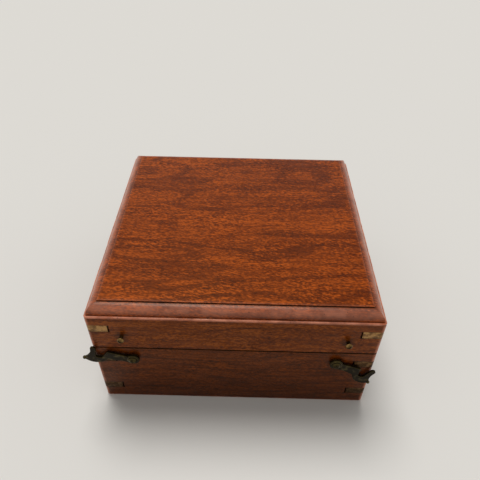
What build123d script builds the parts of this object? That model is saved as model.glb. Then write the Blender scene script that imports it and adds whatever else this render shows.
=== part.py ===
from build123d import *
import math
import os

# A hardwood case for a small sextant: a base and a hinged lid of mitred boards, brass straps
# let into the corners, two butt hinges at the back, two swinging hook latches at the front,
# and the blocks inside that hold the instrument and its two spare telescopes.
# Frame: +X right, +Y towards the hinges, +Z up, origin at the centre of the underside.
# Sizes are millimetres and degrees.

# ---- Driving dimensions -------------------------------------------------------------------

# Case
case_width = 165.0          # outside, along X
case_depth = 158.5          # outside, along Y
base_height = 51.9          # underside to the base's upper edge
wall_thickness = 9.5
bottom_thickness = 6.0
corner_radius = 2.0         # the upright corners
foot_round = 0.9            # lowest outside edge
seam_round = 0.4            # outside edges along the seam
seam_gap = 0.4              # between the closed lid and the base
glue_line_round = 0.05      # outside edge of the lid's rails, under its board

# Lid: rails under a board whose edge is moulded with a step, an ovolo and a small quirk
lid_rail_height = 25.4
lid_edge_height = 1.5       # square edge below the moulding
arris_round = 0.5           # rounding of that edge
quirk_width = 1.4
quirk_height = 0.3
ovolo_radius = 5.2
ovolo_shelf = 0.4           # flat between the ovolo and the step
step_height = 0.9

# Corner straps, L-shaped and let in flush, with one flush pin in each leg
strap_length = 11.8
strap_width = 5.4
strap_thickness = 1.2
strap_end_gap = 0.8         # open recess past each leg's end
strap_side_gap = 0.06
lower_strap_rise = 12.3     # strap's middle above the underside
upper_strap_drop = 10.6     # strap's middle below the base's upper edge
lid_strap_rise = 17.0       # strap's middle above the lid's lower edge
strap_pin_radius = 0.55
strap_pin_length = 6.0
strap_pin_head_radius = 0.95
strap_pin_head_height = 0.5
strap_pin_position = 8.0    # from the case's corner, along the leg

# Hinges, let into the seam. The back edges are bevelled round the barrel, and the bevels
# meet and stop the lid when it stands open.
hinge_length = 26.0
hinge_inset = 32.5          # each hinge's middle, from the case's side
hinge_pin_inset = 1.8       # pin's axis inside the back face
hinge_barrel_radius = 1.7
hinge_pin_radius = 0.8
hinge_pin_gap = 0.05        # radial, pin in knuckle
hinge_relief = 0.4          # clear space round the barrel
leaf_thickness = 1.1
leaf_margin = 0.6           # wood left between a leaf and the wall's inner face
leaf_end_gap = 0.1          # recess past a leaf's ends
knuckle_count = 5
knuckle_gap = 0.2
lid_opening = 105.0         # how far the lid turns before the bevels meet
hinge_screw_spacing = 16.0
hinge_screw_radius = 0.9
hinge_screw_length = 9.0
hinge_screw_head_radius = 1.6
hinge_screw_head_height = 0.8

# Catch studs on the lid and hook latches on the base
stud_inset = 18.7           # each stud, from the case's side
stud_rise = 10.4            # above the lid's lower edge
pivot_inset = 22.8          # each hook's pivot, from the case's side
pivot_drop = 8.7            # below the base's upper edge
latch_screw_radius = 1.1    # shank of studs and pivot screws
latch_screw_embedded = 7.0  # length in the wood
latch_head_height = 1.5
stud_head_radius = 2.1
pivot_head_radius = 2.4
washer_radius = 2.9
washer_thickness = 0.6
hook_thickness = 1.3
hook_boss_height = 0.3      # raised ring round the eye, both sides
hook_boss_radius = 3.1
hook_eye_radius = 3.9
hook_eye_gap = 0.08         # radial, pivot screw in the eye
hook_side_play = 0.05       # along the pivot, each side
hook_arm_half_width = 2.2
hook_arm_angle = 40.0       # where the arm's upper edge leaves the eye
hook_hump_height = 4.7      # tip before the throat, off the arm's line
hook_hump_back = 5.0        # the same tip, before the seated stud
hook_belly_drop = 6.4
hook_tail_length = 8.1      # finial ball past the seated stud
hook_tail_drop = 3.6
hook_finial_radius = 1.1
hook_prong_height = 7.6     # prong's blunt tip, off the arm's line
hook_prong_width = 3.3
hook_throat_gap = 0.4       # radial, stud in the throat
hook_throat_slack = 1.35    # more width of the throat, on the pivot's side
stud_head_play = 0.45       # stud's head in front of a latched hook
left_hook_rest = 9.0        # arm's angle above the outward horizontal, as it was left
right_hook_rest = -32.0

# Screw slots
slot_width = 0.6
slot_depth = 0.5
stud_slot_angle = 35.0      # how each slot was left, turned from level
pivot_slot_angle = 50.0
hinge_slot_angle = 20.0
block_slot_angle = 30.0
screw_gap = 0.03            # radial, screw or pin in its hole

# Fittings inside the base
lining_thickness = 1.2
lining_gap = 0.3            # baize cut short of the walls
telescope_block_size = 30.0
telescope_block_height = 24.0
socket_radius = 10.3
socket_depth = 20.0
socket_ledge = 0.8          # wood round the baize disc let into the socket's floor
socket_pad_thickness = 0.9
socket_pad_gap = 0.1
limb_block_length = 66.0
limb_block_depth = 15.0
limb_block_height = 20.0
limb_rest_depth = 10.0      # rebate at mid length, behind the lip
limb_lip_height = 5.0
limb_radius = 90.0          # of the instrument's arc, whose edge meets the lip
limb_pad_thickness = 1.2
limb_pad_margin = 0.6
chock_length = 34.0         # along X, the two notched chocks for the handle
chock_depth = 12.0
chock_height = 24.0
chock_offset = 18.0         # chocks' middle, right of the case's middle
chock_centre = 25.0         # middle of the pair, behind the case's middle
chock_spacing = 38.0
handle_notch_radius = 9.0
handle_notch_floor = 9.0    # wood left under the notch
saddle_pad_thickness = 1.2
foot_block_size = 24.0
foot_block_height = 26.0
foot_block_left = 48.0      # left of the case's middle
foot_block_back = 38.0
foot_pad_thickness = 1.6
foot_pad_margin = 1.0
block_round = 0.8
block_screw_radius = 1.2
block_screw_length = 17.0
block_screw_head_radius = 2.5
block_screw_head_height = 1.4
block_screw_margin = 4.6    # from a block's side to its screw

# Hold-down block under the lid
lid_block_length = 44.0
lid_block_depth = 16.0
lid_block_height = 14.0
lid_pad_thickness = 2.0
lid_pad_margin = 0.8

# ---- Worked out from them -----------------------------------------------------------------

half_width = case_width / 2
half_depth = case_depth / 2
inner_x = half_width - wall_thickness
inner_y = half_depth - wall_thickness
lid_low = base_height + seam_gap
lid_board_low = lid_low + lid_rail_height
arris_height = lid_board_low + lid_edge_height
moulding_width = quirk_width + ovolo_radius + ovolo_shelf
lid_top = arris_height + quirk_height + ovolo_radius + step_height
floor_top = bottom_thickness + lining_thickness
telescope_x = inner_x - telescope_block_size / 2
telescope_y = -inner_y + telescope_block_size / 2

lower_strap_z = lower_strap_rise
upper_strap_z = base_height - upper_strap_drop
lid_strap_z = lid_low + lid_strap_rise

hinge_y = half_depth - hinge_pin_inset
hinge_z = base_height + seam_gap / 2
leaf_start = hinge_barrel_radius + knuckle_gap      # plate's edge, from the pin's axis
leaf_end = wall_thickness - hinge_pin_inset - leaf_margin
hinge_screw_y = hinge_y - (leaf_start + leaf_end) / 2

front_y = -half_depth
stud_x = half_width - stud_inset
stud_z = lid_low + stud_rise
pivot_x = half_width - pivot_inset
pivot_z = base_height - pivot_drop
hook_reach = math.hypot(stud_x - pivot_x, stud_z - pivot_z)
hook_latched = math.degrees(math.atan2(stud_z - pivot_z, stud_x - pivot_x))
throat_radius = latch_screw_radius + hook_throat_gap
hook_back = washer_thickness + hook_side_play
hook_middle = hook_back + hook_boss_height + hook_thickness / 2
hook_front = hook_back + hook_boss_height * 2 + hook_thickness
pivot_head_start = hook_front + hook_side_play
stud_head_start = hook_middle + hook_thickness / 2 + stud_head_play

# How far each hook turns from where it was left: on to its stud, and down until it hangs
left_hook_range = (-(90.0 + left_hook_rest), hook_latched - left_hook_rest)
right_hook_range = (-(90.0 + right_hook_rest), hook_latched - right_hook_rest)

REACH_OUT = 2.0             # how far cutting solids run past what they cut
SIDES = ("front", "back", "left", "right")
CORNERS = {"front_left": (-1, -1), "front_right": (1, -1), "back_left": (-1, 1), "back_right": (1, 1)}
HANDS = {"left": -1, "right": 1}


# ---- Shapes used again and again ----------------------------------------------------------

def block(x_span, y_span, z_span):
    """A box between two values on each axis."""
    (x0, x1), (y0, y1), (z0, z1) = (sorted(span) for span in (x_span, y_span, z_span))
    return Pos((x0 + x1) / 2, (y0 + y1) / 2, (z0 + z1) / 2) * Box(x1 - x0, y1 - y0, z1 - z0)


def around(middle, width):
    """The span of that width about a middle value."""
    return middle - width / 2, middle + width / 2


def rod(radius, start, direction, length):
    """A round bar from a point, along a direction."""
    along = Align.CENTER, Align.CENTER, Align.MIN
    return Plane(origin=start, z_dir=direction) * Cylinder(radius, length, align=along)


def dome(radius, height):
    """A spherical cap on the XY plane."""
    ball = (radius ** 2 + height ** 2) / (2 * height)
    cap = Pos(0, 0, height - ball) * Sphere(ball)
    return cap & rod(radius, (0, 0, 0), (0, 0, 1), height)


def slot_cut(top, head_radius, angle):
    """The cut of a screwdriver slot into a head whose top is at that height."""
    length = head_radius * 2 + REACH_OUT
    cut = Box(length, slot_width, slot_depth * 2)
    return Pos(0, 0, top) * Rot(0, 0, angle) * cut


def round_head_screw(shank_radius, head_start, embedded, head_radius, head_height, angle):
    """Along +Z with the wood's face at zero: a shank, and a slotted round head above it."""
    shank = rod(shank_radius, (0, 0, -embedded), (0, 0, 1), embedded + head_start)
    head = Pos(0, 0, head_start) * dome(head_radius, head_height)
    return shank + head - slot_cut(head_start + head_height, head_radius, angle)


def flat_head_screw(shank_radius, length, head_radius, head_height, grown=0.0):
    """Along -Z from a flush countersunk head at zero, or its hole, grown all round."""
    low, high = shank_radius + grown, head_radius + grown
    along = Align.CENTER, Align.CENTER, Align.MAX
    shank = Cylinder(low, length + grown, align=along)
    return shank + Cone(low, high, head_height, align=along)


def slotted_flat_head(shank_radius, length, head_radius, head_height, angle):
    """A countersunk screw with its slot."""
    screw = flat_head_screw(shank_radius, length, head_radius, head_height)
    return screw - slot_cut(0, head_radius, angle)


def facing(point, direction):
    """The frame at a point whose Z runs along a direction."""
    return Plane(origin=point, z_dir=direction)


def group(shapes):
    """Separate solids that are one node."""
    return Compound(children=[solid for shape in shapes for solid in shape.solids()])


# ---- Walls and rails ----------------------------------------------------------------------

def case_prism(z_low, z_high):
    """The case's outline, filled, between two heights."""
    outline = RectangleRounded(case_width, case_depth, corner_radius)
    return Pos(0, 0, z_low) * extrude(outline, z_high - z_low)


def eased(radius):
    """An edge rounding, no larger than the upright corners allow."""
    return min(radius, corner_radius * 0.8)


def wall_ring(z_low, z_high, low_round, high_round):
    """All four walls in one piece, with their lowest and highest outside edges eased."""
    solid = case_prism(z_low, z_high)
    solid = fillet(solid.faces().sort_by(Axis.Z)[0].edges(), eased(low_round))
    solid = fillet(solid.faces().sort_by(Axis.Z)[-1].edges(), eased(high_round))
    return solid - block((-inner_x, inner_x), (-inner_y, inner_y), (z_low, z_high))


def mitred(ring, side):
    """One side of a ring, between its two mitres."""
    out_x, out_y = half_width + REACH_OUT, half_depth + REACH_OUT
    in_x, in_y = inner_x - REACH_OUT, inner_y - REACH_OUT
    signs = {"front": ((-1, -1), (1, -1)), "back": ((1, 1), (-1, 1)),
             "left": ((-1, 1), (-1, -1)), "right": ((1, -1), (1, 1))}[side]
    (ax, ay), (bx, by) = signs
    plan = [(ax * out_x, ay * out_y), (bx * out_x, by * out_y),
            (bx * in_x, by * in_y), (ax * in_x, ay * in_y)]
    wedge = extrude(make_face(Polyline(*plan, close=True)), lid_top)
    return ring & wedge


def stop_bevel(edge_z, up):
    """The wood taken off a back edge, from the pin's line out. up is +1 on the lid, -1 below."""
    run = hinge_pin_inset + REACH_OUT
    fall = run * math.tan(math.radians(lid_opening / 2))
    past = -up * seam_gap
    points = [(hinge_y, edge_z), (hinge_y + run, edge_z + up * fall),
              (hinge_y + run, edge_z + past), (hinge_y, edge_z + past)]
    profile = Plane.YZ * make_face(Polyline(*points, close=True))
    return extrude(profile, half_width + REACH_OUT, both=True)


def strap_place(z_middle, sx, sy, length, side_gap):
    """The L-shaped space of one corner strap."""
    z_span = around(z_middle, strap_width + 2 * side_gap)
    core = block(around(0, case_width - 2 * strap_thickness),
                 around(0, case_depth - 2 * strap_thickness), z_span)
    corner = block((sx * (half_width - length), sx * (half_width + REACH_OUT)),
                   (sy * (half_depth - length), sy * (half_depth + REACH_OUT)), z_span)
    return (case_prism(*z_span) - core) & corner


def strap_recess(z_middle, sx, sy):
    """What is cut from the wood for a strap."""
    return strap_place(z_middle, sx, sy, strap_length + strap_end_gap, strap_side_gap)


def pin_places(z_middle, sx, sy):
    """Where a strap's two pins enter, and the way they face."""
    return [((sx * (half_width - strap_pin_position), sy * half_depth, z_middle), (0, sy, 0)),
            ((sx * half_width, sy * (half_depth - strap_pin_position), z_middle), (sx, 0, 0))]


def strap_pin(point, direction, grown=0.0):
    """A pin through a strap into the wood, its head filed flush, or its hole, grown all round."""
    pin = flat_head_screw(strap_pin_radius, strap_pin_length,
                          strap_pin_head_radius, strap_pin_head_height, grown)
    return facing(point, direction) * pin


def corner_strap(z_middle, sx, sy):
    """One brass strap round a corner."""
    strap = strap_place(z_middle, sx, sy, strap_length, 0.0)
    for place in pin_places(z_middle, sx, sy):
        strap -= strap_pin(*place, screw_gap)
    return strap


def cut_for_straps(ring, z_middle):
    """A ring with the recesses and pin holes of its four straps."""
    for sx, sy in CORNERS.values():
        ring -= strap_recess(z_middle, sx, sy)
        for place in pin_places(z_middle, sx, sy):
            ring -= strap_pin(*place, screw_gap)
    return ring


# ---- Hinges -------------------------------------------------------------------------------

def hinge_middles():
    """The X of each hinge's middle."""
    return {hand: sign * (half_width - hinge_inset) for hand, sign in HANDS.items()}


def leaf_span(up):
    """The heights between which a leaf lies. up is +1 on the lid, -1 on the base."""
    face = hinge_z + up * seam_gap / 2
    return face, face + up * leaf_thickness


def knuckle_spans(x_middle, up):
    """The X span of each knuckle of one leaf: the base's at both ends, the lid's between."""
    pitch = hinge_length / knuckle_count
    start = x_middle - hinge_length / 2
    first = 0 if up < 0 else 1
    return [(start + n * pitch + knuckle_gap / 2, start + (n + 1) * pitch - knuckle_gap / 2)
            for n in range(first, knuckle_count, 2)]


def hinge_screw_places(x_middle, up):
    """The seats of one leaf's screws, each facing out of the leaf."""
    face = leaf_span(up)[0]
    return [((x_middle + side * hinge_screw_spacing / 2, hinge_screw_y, face), (0, 0, -up))
            for side in (-1, 1)]


def hinge_screw_hole(place):
    """The countersunk hole that a hinge screw needs in leaf and wood."""
    hole = flat_head_screw(hinge_screw_radius, hinge_screw_length,
                           hinge_screw_head_radius, hinge_screw_head_height, screw_gap)
    return facing(*place) * hole


def hinge_leaf(x_middle, up):
    """A leaf: its plate, its knuckles and the tabs between them."""
    z_span = leaf_span(up)
    leaf = block(around(x_middle, hinge_length), (hinge_y - leaf_end, hinge_y - leaf_start), z_span)
    for x_span in knuckle_spans(x_middle, up):
        leaf += block(x_span, (hinge_y - leaf_start, hinge_y), z_span)
        start = (x_span[0], hinge_y, hinge_z)
        leaf += rod(hinge_barrel_radius, start, (1, 0, 0), x_span[1] - x_span[0])
    bore_start = (x_middle - hinge_length, hinge_y, hinge_z)
    leaf -= rod(hinge_pin_radius + hinge_pin_gap, bore_start, (1, 0, 0), hinge_length * 2)
    for place in hinge_screw_places(x_middle, up):
        leaf -= hinge_screw_hole(place)
    return leaf


def hinge_pin(x_middle):
    """The pin, as long as the barrel."""
    return rod(hinge_pin_radius, (x_middle - hinge_length / 2, hinge_y, hinge_z), (1, 0, 0), hinge_length)


def hinge_screws(up):
    """All the hinge screws of the lid or of the base."""
    places = [place for x in hinge_middles().values() for place in hinge_screw_places(x, up)]
    screw = slotted_flat_head(hinge_screw_radius, hinge_screw_length,
                              hinge_screw_head_radius, hinge_screw_head_height, hinge_slot_angle)
    return group([facing(*place) * screw for place in places])


def cut_for_hinges(ring, up):
    """A ring with its stop bevel, leaf recesses, barrel reliefs and screw holes."""
    ring -= stop_bevel(leaf_span(up)[0], up)
    recess_length = hinge_length + 2 * leaf_end_gap
    for x in hinge_middles().values():
        ring -= block(around(x, recess_length), (hinge_y - leaf_end - leaf_end_gap, hinge_y), leaf_span(up))
        start = (x - recess_length / 2, hinge_y, hinge_z)
        ring -= rod(hinge_barrel_radius + hinge_relief, start, (1, 0, 0), recess_length)
        for place in hinge_screw_places(x, up):
            ring -= hinge_screw_hole(place)
    return ring


# ---- Latches ------------------------------------------------------------------------------

def latch_screw_hole(x, z):
    """The hole of a stud or a pivot screw in the front."""
    return rod(latch_screw_radius + screw_gap, (x, front_y, z), (0, 1, 0), latch_screw_embedded + screw_gap)


def catch_stud(sign):
    """The round-headed screw on the lid that a hook closes over."""
    screw = round_head_screw(latch_screw_radius, stud_head_start, latch_screw_embedded,
                             stud_head_radius, latch_head_height, stud_slot_angle * sign)
    return facing((sign * stud_x, front_y, stud_z), (0, -1, 0)) * screw


def pivot_screw(sign):
    """The screw that a hook turns on."""
    screw = round_head_screw(latch_screw_radius, pivot_head_start, latch_screw_embedded,
                             pivot_head_radius, latch_head_height, pivot_slot_angle * sign)
    return facing((sign * pivot_x, front_y, pivot_z), (0, -1, 0)) * screw


def pivot_washer(sign):
    """The washer between a hook and the wood."""
    centre = (sign * pivot_x, front_y, pivot_z)
    ring = rod(washer_radius, centre, (0, -1, 0), washer_thickness)
    return ring - rod(latch_screw_radius + screw_gap, centre, (0, -1, 0), washer_thickness)


def polar(radius, angle):
    """A point at a radius and an angle from the pivot."""
    return radius * math.cos(math.radians(angle)), radius * math.sin(math.radians(angle))


def hook_outline():
    """The hook's outline about its pivot, with the seated stud on +X and the throat open to +Y."""
    reach, arm, wall = hook_reach, hook_arm_half_width, throat_radius
    eye_low, eye_high = polar(hook_eye_radius, -60), polar(hook_eye_radius, hook_arm_angle)
    arm_root = (eye_low[0] + hook_eye_radius, -arm)
    arm_low = (reach - hook_hump_back - arm * 0.2, -arm)
    tail = (reach + hook_tail_length, -hook_tail_drop)
    tail_low = (tail[0] - hook_finial_radius * 0.6, tail[1] - hook_finial_radius * 0.7)
    tail_high = (tail[0] - hook_finial_radius * 0.2, tail[1] + hook_finial_radius * 0.8)
    prong_in, prong_out = reach + wall, reach + wall + hook_prong_width
    shoulder = hook_prong_height - hook_prong_width * 0.4
    prong_foot = ((tail_high[0] + prong_out) / 2 - hook_finial_radius, shoulder * 0.2)
    prong_top = ((prong_in + prong_out) / 2, hook_prong_height)
    throat_back = reach - hook_throat_slack
    curve = wall * math.sqrt(0.5)
    hump = (reach - hook_hump_back, hook_hump_height)
    edges = [
        Line(eye_low, arm_root),
        Line(arm_root, arm_low),
        ThreePointArc(arm_low, (reach, -hook_belly_drop), tail_low),
        Line(tail_low, tail_high),
        ThreePointArc(tail_high, prong_foot, (prong_out, shoulder)),
        ThreePointArc((prong_out, shoulder), prong_top, (prong_in, shoulder)),
        Line((prong_in, shoulder), (prong_in, 0)),
        ThreePointArc((prong_in, 0), (reach + curve, -curve), (reach, -wall)),
        Line((reach, -wall), (throat_back, -wall)),
        ThreePointArc((throat_back, -wall), (throat_back - curve, -curve), (throat_back - wall, 0)),
        Line((throat_back - wall, 0), hump),
        Line(hump, eye_high),
        ThreePointArc(eye_high, (-hook_eye_radius, 0), eye_low),
    ]
    return make_face(edges)


def hook(sign, rest_angle):
    """A hook latch where it was left: arm, ringed eye, throat, prong and ball finial."""
    plate = extrude(hook_outline(), hook_thickness / 2, both=True)
    boss_height = hook_thickness + 2 * hook_boss_height
    plate += rod(hook_boss_radius, (0, 0, -boss_height / 2), (0, 0, 1), boss_height)
    plate += Pos(hook_reach + hook_tail_length, -hook_tail_drop, 0) * Sphere(hook_finial_radius)
    eye = latch_screw_radius + hook_eye_gap
    plate -= rod(eye, (0, 0, -boss_height), (0, 0, 1), boss_height * 2)
    cosine, sine = math.cos(math.radians(rest_angle)), math.sin(math.radians(rest_angle))
    centre = (sign * pivot_x, front_y - hook_middle, pivot_z)
    place = Plane(origin=centre, x_dir=(sign * cosine, 0, sine), z_dir=(0, -sign, 0))
    return place * plate


# ---- Base and lid -------------------------------------------------------------------------

def base_walls():
    """The base's four walls."""
    ring = wall_ring(0, base_height, foot_round, seam_round)
    for z_middle in (lower_strap_z, upper_strap_z):
        ring = cut_for_straps(ring, z_middle)
    ring = cut_for_hinges(ring, -1)
    for sign in HANDS.values():
        ring -= latch_screw_hole(sign * pivot_x, pivot_z)
    return {f"base_{side}_wall": mitred(ring, side) for side in SIDES}


def lid_rails():
    """The lid's four rails."""
    ring = wall_ring(lid_low, lid_board_low, seam_round, glue_line_round)
    ring = cut_for_straps(ring, lid_strap_z)
    ring = cut_for_hinges(ring, 1)
    for sign in HANDS.values():
        ring -= latch_screw_hole(sign * stud_x, stud_z)
    return {f"lid_{side}_rail": mitred(ring, side) for side in SIDES}


def moulded_section(half_span):
    """The lid board's section across one direction, from edge to edge."""
    edge, quirk, field = arris_height, arris_height + quirk_height, lid_top
    def half(sign):
        """One edge's outline, from the underside up to the field."""
        side = sign * half_span
        ovolo_low = (side - sign * quirk_width, quirk)
        ovolo_high = (side - sign * (quirk_width + ovolo_radius), quirk + ovolo_radius)
        slant = ovolo_radius * (1 - math.sqrt(0.5))
        ovolo_middle = (ovolo_low[0] - sign * slant, ovolo_high[1] - slant)
        step = side - sign * moulding_width
        arris_low = (side, edge - arris_round)
        arris_high = (side - sign * arris_round, edge)
        arris_cut = arris_round * (1 - math.sqrt(0.5))
        arris_middle = (side - sign * arris_cut, edge - arris_cut)
        return [
            Line((0, lid_board_low), (side, lid_board_low)),
            Line((side, lid_board_low), arris_low),
            ThreePointArc(arris_low, arris_middle, arris_high),
            Line(arris_high, (ovolo_low[0], edge)),
            Line((ovolo_low[0], edge), ovolo_low),
            ThreePointArc(ovolo_low, ovolo_middle, ovolo_high),
            Line(ovolo_high, (step, ovolo_high[1])),
            Line((step, ovolo_high[1]), (step, field)),
            Line((step, field), (0, field)),
        ]
    return make_face(half(1) + half(-1))


def lid_board():
    """The lid's top board, moulded along all four edges."""
    along_x = extrude(Plane.YZ * moulded_section(half_depth), half_width, both=True)
    along_y = extrude(Plane.XZ * moulded_section(half_width), half_depth, both=True)
    return along_x & along_y & case_prism(lid_board_low, lid_top)


# ---- Inside -------------------------------------------------------------------------------

def standing_block(x_span, y_span, height):
    """A block on the lined floor with its upper edges eased."""
    solid = block(x_span, y_span, (floor_top, floor_top + height))
    return fillet(solid.faces().sort_by(Axis.Z)[-1].edges(), block_round)


def telescope_block(sign):
    """The corner block whose socket takes a spare telescope."""
    x, top = sign * telescope_x, floor_top + telescope_block_height
    solid = standing_block(around(x, telescope_block_size), around(telescope_y, telescope_block_size),
                           telescope_block_height)
    solid -= rod(socket_radius, (x, telescope_y, top), (0, 0, -1), socket_depth)
    seat_depth = socket_depth + socket_pad_thickness
    return solid - rod(socket_radius - socket_ledge, (x, telescope_y, top), (0, 0, -1), seat_depth)


def socket_pad(sign):
    """The baize disc let into a socket's floor."""
    bottom = floor_top + telescope_block_height - socket_depth - socket_pad_thickness
    centre = (sign * telescope_x, telescope_y, bottom)
    return rod(socket_radius - socket_ledge - socket_pad_gap, centre, (0, 0, 1), socket_pad_thickness)


def limb_rest(low, high, shrunk):
    """The rebate behind the lip, cut to the instrument's arc, and drawn in all round if shrunk."""
    lip_y = -inner_y + limb_block_depth - limb_rest_depth
    radius = limb_radius - shrunk
    disc = rod(radius, (0, lip_y + limb_radius, low), (0, 0, 1), high - low)
    x_span = around(0, limb_block_length - 2 * shrunk)
    return disc & block(x_span, (-inner_y, -inner_y + limb_block_depth - shrunk), (low, high))


def limb_block():
    """The block at the front that the instrument's arc lies on, with a lip in front of it."""
    solid = standing_block(around(0, limb_block_length), (-inner_y, -inner_y + limb_block_depth),
                           limb_block_height)
    top = floor_top + limb_block_height
    return solid - limb_rest(top - limb_lip_height, top + REACH_OUT, 0.0)


def limb_pad():
    """The baize on that block."""
    low = floor_top + limb_block_height - limb_lip_height
    return limb_rest(low, low + limb_pad_thickness, limb_pad_margin)


def chock_middles():
    """The Y of each notched chock's middle."""
    return {"front": chock_centre - chock_spacing / 2, "back": chock_centre + chock_spacing / 2}


def notch(y_span, radius, top):
    """A U-shaped notch for the handle, open at the top."""
    axis_z = floor_top + handle_notch_floor + handle_notch_radius
    left, right = around(chock_offset, 2 * radius)
    outline = make_face([
        Line((left, top), (left, axis_z)),
        ThreePointArc((left, axis_z), (chock_offset, axis_z - radius), (right, axis_z)),
        Line((right, axis_z), (right, top)),
        Line((right, top), (left, top)),
    ])
    return Pos(0, y_span[1], 0) * extrude(Plane.XZ * outline, y_span[1] - y_span[0])


def handle_chock(y_middle):
    """A chock that holds the instrument's handle."""
    solid = standing_block(around(chock_offset, chock_length), around(y_middle, chock_depth), chock_height)
    cut_span = around(y_middle, chock_depth + REACH_OUT)
    return solid - notch(cut_span, handle_notch_radius, floor_top + chock_height + REACH_OUT)


def saddle_pad(y_middle):
    """The baize round a chock's notch."""
    y_span, cut_span = around(y_middle, chock_depth), around(y_middle, chock_depth + REACH_OUT)
    top = floor_top + chock_height - block_round
    outside = notch(y_span, handle_notch_radius, top)
    return outside - notch(cut_span, handle_notch_radius - saddle_pad_thickness, top + REACH_OUT)


def foot_block():
    """The block under the instrument's left foot."""
    x_span, y_span = around(-foot_block_left, foot_block_size), around(foot_block_back, foot_block_size)
    return standing_block(x_span, y_span, foot_block_height)


def foot_pad():
    """The baize on that block."""
    top = floor_top + foot_block_height
    width = foot_block_size - 2 * foot_pad_margin
    z_span = (top, top + foot_pad_thickness)
    return block(around(-foot_block_left, width), around(foot_block_back, width), z_span)


def block_screw_points():
    """Where the screws that hold the blocks come up through the bottom."""
    inset = block_screw_margin
    half = telescope_block_size / 2 - inset
    telescopes = [(sign * telescope_x + side * half, telescope_y - side * sign * half)
                  for sign in HANDS.values() for side in (-1, 1)]
    limb_y = -inner_y + inset
    limbs = [(side * (limb_block_length / 2 - 2 * inset), limb_y) for side in (-1, 1)]
    chocks = [(chock_offset + side * (chock_length / 2 - inset), y)
              for y in chock_middles().values() for side in (-1, 1)]
    foot_half = foot_block_size / 2 - inset
    feet = [(-foot_block_left + side * foot_half, foot_block_back + side * foot_half) for side in (-1, 1)]
    return telescopes + limbs + chocks + feet


def block_screw_holes():
    """The holes of those screws."""
    hole = flat_head_screw(block_screw_radius, block_screw_length,
                           block_screw_head_radius, block_screw_head_height, screw_gap)
    return [facing((x, y, 0), (0, 0, -1)) * hole for x, y in block_screw_points()]


def block_screws():
    """Those screws, their heads flush in the underside."""
    screw = slotted_flat_head(block_screw_radius, block_screw_length,
                              block_screw_head_radius, block_screw_head_height, block_slot_angle)
    return group([facing((x, y, 0), (0, 0, -1)) * screw for x, y in block_screw_points()])


def bottom_board():
    """The base's bottom, glued in between the walls."""
    return block((-inner_x, inner_x), (-inner_y, inner_y), (0, bottom_thickness))


def floor_lining():
    """The baize sheet on the bottom board."""
    return block(around(0, 2 * (inner_x - lining_gap)), around(0, 2 * (inner_y - lining_gap)),
                 (bottom_thickness, floor_top))


def drilled(solid):
    """A base fitting with the holes of the screws that reach it."""
    for hole in block_screw_holes():
        solid -= hole
    return solid


def lid_block():
    """The block under the lid that keeps the instrument down."""
    low = lid_board_low - lid_block_height
    solid = block(around(0, lid_block_length), around(0, lid_block_depth), (low, lid_board_low))
    return fillet(solid.faces().sort_by(Axis.Z)[0].edges(), block_round)


def lid_pad():
    """The baize on that block."""
    top = lid_board_low - lid_block_height
    return block(around(0, lid_block_length - 2 * lid_pad_margin),
                 around(0, lid_block_depth - 2 * lid_pad_margin), (top - lid_pad_thickness, top))


# ---- All the pieces -----------------------------------------------------------------------

def strap_nodes():
    """Every corner strap by name, and the pins of the base and of the lid."""
    nodes, pins = {}, {"base": [], "lid": []}
    for row, z_middle, owner in (("base_lower", lower_strap_z, "base"),
                                 ("base_upper", upper_strap_z, "base"),
                                 ("lid", lid_strap_z, "lid")):
        for corner, (sx, sy) in CORNERS.items():
            nodes[f"{row}_strap_{corner}"] = corner_strap(z_middle, sx, sy)
            pins[owner] += [strap_pin(*place) for place in pin_places(z_middle, sx, sy)]
    for owner, shapes in pins.items():
        nodes[f"{owner}_strap_pins"] = group(shapes)
    return nodes


def hinge_nodes():
    """Both hinges, their pins and their screws."""
    nodes = {"base_hinge_screws": hinge_screws(-1), "lid_hinge_screws": hinge_screws(1)}
    for hand, x in hinge_middles().items():
        nodes[f"{hand}_hinge_base_leaf"] = hinge_leaf(x, -1)
        nodes[f"{hand}_hinge_lid_leaf"] = hinge_leaf(x, 1)
        nodes[f"{hand}_hinge_pin"] = hinge_pin(x)
    return nodes


def latch_nodes():
    """The hooks, their pivot screws and washers, and the studs on the lid."""
    nodes = {}
    for hand, sign in HANDS.items():
        rest = {"left": left_hook_rest, "right": right_hook_rest}[hand]
        nodes[f"{hand}_hook"] = hook(sign, rest)
        nodes[f"{hand}_pivot_screw"] = pivot_screw(sign)
        nodes[f"{hand}_pivot_washer"] = pivot_washer(sign)
        nodes[f"{hand}_catch_stud"] = catch_stud(sign)
    return nodes


def inside_nodes():
    """The bottom, its lining, the blocks on it and the block under the lid."""
    nodes = {
        "bottom_board": drilled(bottom_board()),
        "floor_lining": drilled(floor_lining()),
        "limb_block": drilled(limb_block()),
        "limb_pad": limb_pad(),
        "foot_block": drilled(foot_block()),
        "foot_pad": foot_pad(),
        "block_screws": block_screws(),
        "lid_block": lid_block(),
        "lid_pad": lid_pad(),
    }
    for hand, sign in HANDS.items():
        nodes[f"{hand}_telescope_block"] = drilled(telescope_block(sign))
        nodes[f"{hand}_socket_pad"] = socket_pad(sign)
    for place, y in chock_middles().items():
        nodes[f"{place}_handle_chock"] = drilled(handle_chock(y))
        nodes[f"{place}_saddle_pad"] = saddle_pad(y)
    return nodes


def all_nodes():
    """Every piece of the case by name."""
    nodes = {"lid_board": lid_board()}
    for part in (base_walls, lid_rails, strap_nodes, hinge_nodes, latch_nodes, inside_nodes):
        nodes.update(part())
    return nodes


def main():
    """Writes one STEP file for each piece."""
    os.makedirs("parts", exist_ok=True)
    for name, shape in all_nodes().items():
        export_step(shape, f"parts/{name}.step")


if __name__ == "__main__":
    main()
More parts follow.
